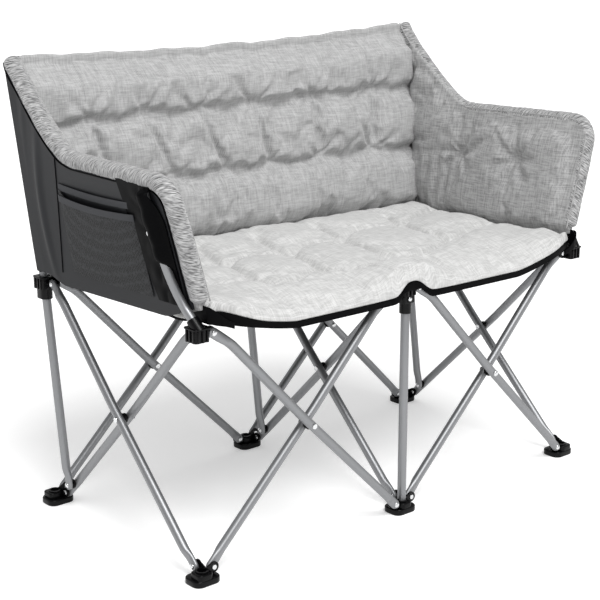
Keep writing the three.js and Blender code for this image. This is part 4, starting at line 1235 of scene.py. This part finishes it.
class BackRest(bpy.types.Operator):
    """The quilted back pad with two channels and staggered stitch lines, and the sheet with its post sleeves"""

    bl_idname = "loveseat.back_rest"
    bl_label = "Back rest"

    def execute(self, context):
        cap = context.scene.loveseat_sizes.swell_limit

        def at(u, v):
            z = BACK_BOTTOM + (back_top(u) - BACK_BOTTOM) * v
            half = back_half_width(z) - 0.010 * swell((z - 0.790) / 0.035)
            return -half + 2 * half * u, z, half

        def face(u, v, full):
            x, z, half = at(u, v)
            thick = self.thickness(x, z, half - np.abs(x), back_top(u) - TOP_HEM)
            return np.stack([x, back_front(z) - SHEET_GAP - full * thick, z], 1)

        pad, u, v, behind = sheet_form("back_cushion", 164, 72, face, 1, 0)
        x, z, _half = at(u, v)
        sewn = np.maximum(behind.astype(float), rim_of(u, v))
        sewn = np.maximum(sewn, z > back_top(u) - TOP_HEM - 0.001)
        for tufts in CHANNELS:
            sewn = np.maximum(sewn, (np.abs(z - garland(x, tufts)) < 0.003) & (np.abs(x) < 0.455))
        for high, low in zip(*CHANNELS):
            sewn = np.maximum(sewn, 0.9 * (near_line(x, z, high, low, 0.006) > 0.5))
        stuffed(pad, sewn, -0.08, 0.7 * cap)
        subdivided(pad)
        settle(pad, "back", "back_linen", ["back_pad"], 50)
        squash_width(pad)

        def cloth_face(u, v, offset):
            z = BACK_CLOTH_BOTTOM + (back_top(u) - 0.002 - BACK_CLOTH_BOTTOM) * v
            half = back_half_width(z)
            return np.stack([-half + 2 * half * u, back_front(z) + offset, z], 1)

        sheet = cloth_form("back_cloth", 40, 16, cloth_face, 0.0, SHEET, "back", "oxford", ["back_sheet"])
        squash_width(sheet)
        for column, column_x in COLUMNS.items():
            self.sleeve(column, column_x)
        return {"FINISHED"}

    def thickness(self, x, z, end, hem):
        """end is the distance from the side edge, hem the height of the sewn top hem."""
        level = np.minimum(z - BACK_BOTTOM, np.maximum(hem - z, 0))
        thick = np.minimum(0.015 + 0.027 * swell(end / 0.030), 0.009 + 0.033 * swell(level / 0.042))
        trough = np.zeros_like(x)
        for tufts in CHANNELS:
            above = z - garland(x, tufts)
            channel = 0.017 * np.where(above > 0, dent(above, 0.011), dent(above, 0.021))
            trough = np.max([trough, channel, 0.021 * dent(from_tufts(x, z, tufts), 0.016)], axis=0)
        for number, ends in enumerate(zip(*CHANNELS)):
            lean = 0.010 * math.sin(2.1 * number)
            trough = np.maximum(trough, 0.0150 * near_line(x, z, *ends, 0.009))
            for depth, tuft, way, across, up, wide in BACK_CREASES:
                crease = fading(x, z, ends[tuft], (across + way * lean, up), wide)
                trough = np.maximum(trough, depth * crease)
        fine = 0.0028 * rays(x, z, UPPER_TUFTS + LOWER_TUFTS, 7, 0.034) + 0.0022 * ripple(x, z, 0.16)
        inside = swell(np.minimum(end, level) / 0.035)
        return thick - 0.003 * dent(z - hem, 0.004) + inside * (fine - trough)

    def sleeve(self, column, x):
        low = place(x, post_y(BACK_CLOTH_BOTTOM), BACK_CLOTH_BOTTOM)
        top = POST_TOPS[column] + GAP
        high = place(x, post_y(top + SHEET), top + SHEET)
        piece = rod(0.0103, low, high, 28)
        axis = (high - low).normalized()
        combine(piece, rod(0.0085, low - axis * 0.01, place(x, post_y(top), top), 28), "DIFFERENCE")
        piece.name = f"{column}_post_sleeve"
        settle(piece, "back", "oxford", angle=40)
        if x:
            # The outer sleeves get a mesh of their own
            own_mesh(piece)


# Gathers in the low back corner of a side: depth of each start, and how far it reaches down
SIDE_GATHERS = ((0.325, -0.100), (0.352, -0.120), (0.380, -0.125), (0.408, -0.120))
SIDE_CREASES = ((-0.050, -0.060), (0.010, 0.080), (0.070, 0.055), (-0.070, 0.030))


class SidePanels(bpy.types.Operator):
    """The padded side panels and their outer sheets"""

    bl_idname = "loveseat.side_panels"
    bl_label = "Side panels"

    def execute(self, context):
        for side, sign in SIDES:
            self.pad(side, sign, context.scene.loveseat_sizes.swell_limit)
            self.outer(side, sign)
        return {"FINISHED"}

    def pad(self, side, sign, cap):
        def face(u, v, full):
            y, z, top, bottom = side_point(u, v, PAD_INSET)
            run = back_front(z) - SIDE_ROOM - SIDE_FRONT
            hem = np.minimum((1 - u) * run, top - z)
            thick = self.thickness(y, z, hem, np.minimum(u * run, z - bottom))
            return np.stack([sign * (side_face(y, z) - full * thick), y, z], 1)

        pad, u, v, behind = sheet_form(f"{side}_side_cushion", 92, 50, face, 1, 0)
        y, z, top, _bottom = side_point(u, v)
        sewn = np.maximum(behind.astype(float), rim_of(u, v))
        sewn = np.maximum(sewn, from_tufts(y, z, SIDE_TUFTS) < STITCH)
        sewn = np.maximum(sewn, np.minimum(y - SIDE_FRONT, top - z) < 0.0235)
        stuffed(pad, sewn, -0.07, 0.7 * cap)
        subdivided(pad)
        settle(pad, f"front_{side}_hub", "side_linen", [f"{side}_side_pad"], 50)
        squash_side(pad)

    def thickness(self, y, z, hem, rest):
        """hem is the distance from the top and front edge, rest that from the others."""
        seams = [0.35 * near_line(y, z, SIDE_TUFTS[1], (0.440, 0.582), 0.009)]
        seams.append(dent(from_tufts(y, z, SIDE_TUFTS), 0.020))
        for gather, reach in SIDE_GATHERS:
            seams.append(0.45 * fading(y, z, (gather, 0.575), (0.012, reach), 0.008))
        for crease in SIDE_CREASES:
            seams += [0.4 * fading(y, z, tuft, crease, 0.009) for tuft in SIDE_TUFTS]
        # Under the roll the pad wraps round its inner half
        crown = ROLL_INSET - PAD_INSET - hem
        wrap = np.sqrt(np.maximum((ROLL + 0.0008) ** 2 - np.maximum(crown, 0) ** 2, 0)) - ROLL_OUT
        thick = np.minimum(0.010 + 0.020 * swell(rest / 0.034), wrap + 0.006 * swell(-crown / 0.050))
        fine = 0.0022 * rays(y, z, SIDE_TUFTS, 7, 0.036) + 0.0018 * ripple(y, z, 0.14)
        return thick + swell(np.minimum(rest, hem) / 0.045) * (fine - 0.013 * np.max(seams, axis=0))

    def outer(self, side, sign):
        def face(u, v, offset):
            # The first column wraps round the back sheet's edge
            share = np.where(u < 0.02, -1.0, (u - 0.02) / 0.98)
            y, z, _top, _bottom = side_point(share, v, 0.020)
            # Between the hubs it hangs over the edge of the seat
            fall = swell(np.minimum(y - 0.034, BAY - 0.036 - y) / 0.060)
            z = z - 0.014 * fall * np.clip(1 - v, 0, 1) ** 4
            # Upright creases in the rear part
            slack = np.sin(math.pi * np.clip(share / 0.17, 0, 1)) * np.sin(math.pi * np.clip(v, 0, 1)) ** 0.5
            wave = 0.5 + 0.5 * np.sin(58 * share + 3.0 * np.sin(3.2 * v + 0.5))
            return np.stack([sign * (side_face(y, z) + offset + 0.0040 * slack * wave**2), y, z], 1)

        name, body, nodes = f"{side}_side_cloth", f"front_{side}_hub", [f"{side}_side_sheet"]
        piece = cloth_form(name, 140, 40, face, SHEET_GAP + SHEET, SHEET_GAP, body, "oxford", nodes)
        squash_side(piece)


def side_edge(inset):
    """The top and front edge of a side drawn inward by inset, as depth and height, from the back top corner."""
    start = back_front(SIDE_BACK_TOP) - SIDE_ROOM
    line = [(start + min(0.0066 + 0.87 * inset, 0.018), SIDE_BACK_TOP + 0.0112 - 0.5 * inset)]
    rising = np.linspace(start - 0.006, SIDE_KINK + 0.012, 10)
    level = np.linspace(SIDE_KINK - 0.012, SIDE_FRONT + 0.06, 8)
    for y in np.concatenate([rising, level]):
        slope = float(side_top(y + 0.001) - side_top(y - 0.001)) / 0.002
        size = math.hypot(1, slope)
        line.append((y + inset * slope / size, float(side_top(y)) - inset / size))
    for degrees in (15, 30, 45, 60, 75, 90):
        angle = math.radians(degrees)
        y = SIDE_FRONT + CORNER_RUN - (CORNER_RUN - inset) * math.sin(angle)
        line.append((y, ARM_TOP - CORNER_DROP + (CORNER_DROP - inset) * math.cos(angle)))
    return line + [(SIDE_FRONT + inset, height) for height in (0.590, 0.550, 0.510, 0.472)]


def edge_points(sign, inset, outward):
    return [Vector((sign * (float(side_face(y, z)) + outward), y + FRONT_ROW, z)) for y, z in side_edge(inset)]


def length_along(points):
    return np.concatenate([[0], np.cumsum(np.linalg.norm(np.diff(points, axis=0), axis=1))])


def rolled_edge(name, line, radius, columns, rows, crumple=0.0):
    """A stuffed roll along a line: a grid wrapped round it and closed to a round end at both ends."""
    points = np.array([tuple(p) for p in line])
    steps = length_along(points)
    total = steps[-1]

    def centre(s):
        return np.stack([np.interp(s, steps, points[:, axis]) for axis in range(3)], 1)

    def smoothed(s):
        shifts = (-0.012, -0.006, 0.0, 0.006, 0.012)
        return np.mean([centre(np.clip(s + shift, 0, total)) for shift in shifts], axis=0)

    piece = named(grid(columns, rows), name)
    co = points_of(piece)
    s = total * (co[:, 0] + 1) / 2
    angle = math.pi * (co[:, 1] + 1)
    ahead = smoothed(s + 0.004) - smoothed(s - 0.004)
    ahead /= np.linalg.norm(ahead, axis=1)[:, None]
    side = np.array([1.0, 0.0, 0.0]) - ahead * ahead[:, :1]
    side /= np.linalg.norm(side, axis=1)[:, None]
    up = np.cross(ahead, side)
    end = np.clip(np.minimum(s, total - s) / radius, 0, 1)
    folds = np.sin(s / 0.0019 + 2.6 * np.sin(angle + s / 0.05)) * (0.6 + 0.4 * np.sin(s / 0.021 + angle))
    slow = np.sin(s / 0.0071 + 1.3 * np.cos(angle)) + np.sin(s / 0.017 + angle)
    size = radius * np.sqrt(1 - (1 - end) ** 2) * (1 + crumple * (0.030 * folds + 0.035 * slow))
    ring = np.cos(angle)[:, None] * side + np.sin(angle)[:, None] * up
    set_points(piece, hang(smoothed(s) + ring * size[:, None]))
    return face_outwards(piece)


class EdgeRolls(bpy.types.Operator):
    """The melange rolls along the top and front edge of both sides, with their piping"""

    bl_idname = "loveseat.edge_rolls"
    bl_label = "Edge rolls"

    def execute(self, context):
        for side, sign in SIDES:
            body = f"front_{side}_hub"
            line = edge_points(sign, ROLL_INSET, ROLL_OUT)
            roll = rolled_edge(f"{side}_edge_roll", line, ROLL, 420, 30, 0.45)
            settle(roll, body, "roll_linen", angle=60)
            squash_side(roll)
            pipings = (
                ("outer", ROLL_INSET + 0.0140, 0.0042, "black_oxford"),
                ("inner", PAD_INSET - 0.0008, ROLL_OUT - 0.0142, "side_linen"),
            )
            for word, inset, outward, cloth in pipings:
                line = edge_points(sign, inset, outward)
                cord = rolled_edge(f"{side}_{word}_piping", line, 0.0013, 300, 10)
                settle(cord, body, cloth, angle=60)
                squash_side(cord)
        return {"FINISHED"}


def arm_depth(z):
    return np.interp(z, [p[0] for p in ARM_LINE], [p[1] for p in ARM_LINE])


def cloth_strip(name, columns, rows, shape, sign, finish_name, body):
    """A thin cloth piece laid on the outside of a side: shape gives depth, height and lift over the sheet."""
    def face(u, v, offset):
        y, z, lift = shape(u, v)
        return np.stack([sign * (side_face(y, z) + SHEET_GAP + SHEET + lift + offset), y, z], 1)

    piece = cloth_form(name, columns, rows, face, STRIP, 0.0, body, finish_name)
    return piece


# The webbing of a front corner: across, depth and height of its middle line
CORNER_TAB = np.array([
    (0.4520, 0.034, 0.4570), (0.4520, 0.012, 0.4570), (0.4525, -0.008, 0.4575), (0.4530, -0.0160, 0.4575),
    (0.4500, -0.0215, 0.4565), (0.4430, -0.0260, 0.4525), (0.4330, -0.0285, 0.4470), (0.4200, -0.0290, 0.4400),
    (0.4080, -0.0280, 0.4350),
])


POUCH_BOTTOM = 0.464


class ShellTrim(bpy.types.Operator):
    """The pouches that hold the arm tubes, their snaps, the rear seams and the webbing round the front hubs"""

    bl_idname = "loveseat.shell_trim"
    bl_label = "Shell trim"

    def execute(self, context):
        for side, sign in SIDES:
            body = f"front_{side}_hub"
            name = f"{side}_arm_pouch"
            pouch = cloth_strip(name, 40, 60, self.pouch, sign, "black_oxford", body)
            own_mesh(pouch)
            self.snap(side, sign, body)
            self.seam(side, sign, body)
            self.corner_tab(side, sign, body)
        self.hub_cover()
        return {"FINISHED"}

    def bulge(self, y, z):
        """The pouch stands out over the arm tube, from where the tube goes in."""
        cover = swell((z - 0.524) / 0.022) * (1 - swell((z - 0.651) / 0.009))
        return 0.0012 + 0.0165 * cover * np.exp(-np.abs((y - arm_depth(z)) / 0.0135) ** 3)

    def pouch(self, u, v):
        z = POUCH_BOTTOM + 0.203 * v
        rear = 0.092 + 0.254 * (z - POUCH_BOTTOM)
        front = 0.022 + 0.020 * swell((z - 0.60) / 0.06)
        y = rear + (front - rear) * u
        crease = 0.0032 * np.abs(ripple(y, z, 0.045)) * np.sin(math.pi * u) * swell((1 - v) / 0.15)
        return y, z, self.bulge(y, z) + crease

    def snap(self, side, sign, body):
        y, z = 0.057, 0.584
        out = side_face(y, z) + SHEET_GAP + SHEET + self.bulge(y, z) + STRIP
        piece = rivet_model(0.0, -0.002, head=0.0050, dome=0.0022)
        turn = Matrix.Rotation(math.radians(sign * 90), 4, "Y")
        piece.data.transform(Matrix.Translation(place(sign * float(out), y, z)) @ turn)
        piece.name = f"{side}_pouch_snap"
        settle(piece, body, "rivet")

    def seam(self, side, sign, body):
        line = []
        for z in np.linspace(0.456, 0.676, 8):
            y = 0.372 - 0.11 * (z - 0.456)
            line.append(place(sign * (float(side_face(y, z)) + SHEET + 0.0008), y, z))
        cord = rolled_edge(f"{side}_rear_seam", line, 0.0011, 80, 8)
        settle(cord, body, "black_oxford", angle=60)
        squash_side(cord)

    def corner_tab(self, side, sign, body):
        """Webbing under the low front corner of the side, round the arm tube to the seat."""
        steps = length_along(CORNER_TAB)

        def face(u, v, offset):
            x, y, z = (np.interp(u * steps[-1], steps, CORNER_TAB[:, axis]) for axis in range(3))
            turn = np.pi / 2 * swell((u - 0.42) / 0.25)
            tall = 0.028 - 0.018 * swell((u - 0.45) / 0.5)
            across = sign * (x - offset * np.cos(turn))
            return np.stack([across, y - offset * np.sin(turn), z + tall * (v - 0.5)], 1)

        piece = cloth_form(f"{side}_corner_tab", 60, 6, face, STRIP, 0.0, body, "webbing", soft=True)

    def hub_cover(self):
        """A bound patch on the seat's front hem where the seat lies over the centre hub."""
        def face(u, v, offset):
            x = (0.074 - 0.040 * v) * (u - 0.5)
            away = 2 * np.abs(u - 0.5)
            y = -0.0272 + seat_pull(x, -SEAT_OVERHANG) - offset - 0.0022 * np.sin(math.pi * v / 2)
            z = seat_sheet_top(x, 0 * x - SEAT_OVERHANG) - v * (0.0155 - 0.005 * away**2)
            return np.stack([x, y, z], 1)

        body = "front_centre_hub"
        piece = cloth_form("centre_hub_cover", 32, 10, face, 0.0015, 0.0, body, "webbing", soft=True)


# The net as shares of the side's depth and height: where it starts, and its size
NET_REAR, NET_LENGTH = 0.24, 0.5
NET_LOW, NET_HEIGHT = 0.07, 0.55


class NetPocket(bpy.types.Operator):
    """The net pocket on the left side with its two elastic bands"""

    bl_idname = "loveseat.net_pocket"
    bl_label = "Net pocket"

    def execute(self, context):
        def face(u, v, offset):
            y, z, _top, _bottom = side_point(NET_REAR + NET_LENGTH * u, NET_LOW + NET_HEIGHT * v)
            return np.stack([-(side_face(y, z) + offset + self.belly(u, v)), y, z], 1)

        body = "front_left_hub"
        piece = cloth_form("side_net", 40, 24, face, 0.0058, 0.0046, body, "net", ["left_side_pocket"])
        squash_side(piece)
        # Name, height, lift over the sheet and how much of the net's belly it follows
        for name, height, lift, part in (("upper", 0.6205, 0.0004, 0.3), ("lower", 0.6010, 0.0030, 1.0)):
            def band(u, v, height=height, lift=lift, part=part):
                y = side_point(NET_REAR + NET_LENGTH * u, 0.62 + 0 * u)[0]
                z = height + 0.0115 * (v - 0.5) - 0.0035 * np.sin(math.pi * u)
                return y, z, lift + part * self.belly(u, 1.0)

            squash_side(cloth_strip(f"pocket_{name}_band", 50, 4, band, -1, "elastic", body))
        return {"FINISHED"}

    def belly(self, u, v):
        return 0.010 * np.sin(math.pi * np.clip(u, 0, 1)) ** 0.6 * (0.35 + 0.65 * v)


# ---------------------------------------------------------------- stage
# The camera as fitted to the photograph, its place from the front row
CAMERA_AT = (-1.7123, -1.6969, 1.0207)
CAMERA_DOWN = 14.412
CAMERA_AZIMUTH = -40.798
CAMERA_LENS = 83.66


class Stage(bpy.types.Operator):
    """Pale paper floor, soft lamps and the camera"""

    bl_idname = "loveseat.stage"
    bl_label = "Stage"

    def execute(self, context):
        scene = context.scene
        deselect()
        bpy.ops.mesh.primitive_plane_add(size=160, location=(0, 0, 0))
        floor = context.object
        floor.name = "paper"
        floor.data.materials.append(finish("paper"))
        scene.world = world = bpy.data.worlds.new("studio")
        world.use_nodes = True
        background = world.node_tree.nodes["Background"]
        background.inputs[0].default_value = linear("#ffffff")
        background.inputs[1].default_value = 0.55
        turn = (math.radians(33), 0, math.radians(-12))
        bpy.ops.object.light_add(type="SUN", location=(-1, -2, 4), rotation=turn)
        sun = context.object
        sun.name = "broad_light"
        sun.data.energy = 2.1
        sun.data.angle = math.radians(30)
        self.lamp("key", (-1.5, -2.2, 2.6), 1.6, 26)
        bpy.ops.object.camera_add(location=place(*CAMERA_AT))
        camera = context.object
        camera.name = "camera"
        camera.rotation_euler = (math.radians(90 - CAMERA_DOWN), 0, math.radians(CAMERA_AZIMUTH))
        camera.data.lens = CAMERA_LENS
        camera.data.sensor_width = 36
        scene.camera = camera
        scene.view_settings.view_transform = "Standard"
        return {"FINISHED"}

    def lamp(self, name, at, size, power):
        bpy.ops.object.light_add(type="AREA", location=at)
        lamp = bpy.context.object
        lamp.name = name
        lamp.data.shape = "DISK"
        lamp.data.size = size
        lamp.data.energy = power
        aim = Vector((0, 0, 0.45)) - Vector(at)
        lamp.rotation_euler = aim.to_track_quat("-Z", "Y").to_euler()


OPERATORS = [
    LegTubes, PivotRivets, Posts, Feet, Hubs, ArmTubes, SeatPads, BackRest, SidePanels, EdgeRolls, ShellTrim,
    NetPocket, Stage,
]


class LoveseatPanel(bpy.types.Panel):
    """Lists the pieces of the loveseat"""

    bl_idname = "VIEW3D_PT_loveseat"
    bl_label = "Loveseat"
    bl_space_type = "VIEW_3D"
    bl_region_type = "UI"
    bl_category = "Loveseat"

    def draw(self, context):
        for group in (context.scene.loveseat_sizes, context.scene.loveseat_colours):
            for key in group.__annotations__:
                self.layout.prop(group, key)
        for operator in OPERATORS:
            self.layout.operator(operator.bl_idname)


CLASSES = [LoveseatSizes, LoveseatColours, *OPERATORS, LoveseatPanel]


def register():
    for item in CLASSES:
        bpy.utils.register_class(item)
    bpy.types.Scene.loveseat_sizes = bpy.props.PointerProperty(type=LoveseatSizes)
    bpy.types.Scene.loveseat_colours = bpy.props.PointerProperty(type=LoveseatColours)


def unregister():
    del bpy.types.Scene.loveseat_colours
    del bpy.types.Scene.loveseat_sizes
    for item in reversed(CLASSES):
        bpy.utils.unregister_class(item)


def main():
    register()
    deselect()
    for operator in OPERATORS:
        group, name = operator.bl_idname.split(".")
        getattr(getattr(bpy.ops, group), name)()


if __name__ == "__main__":
    main()
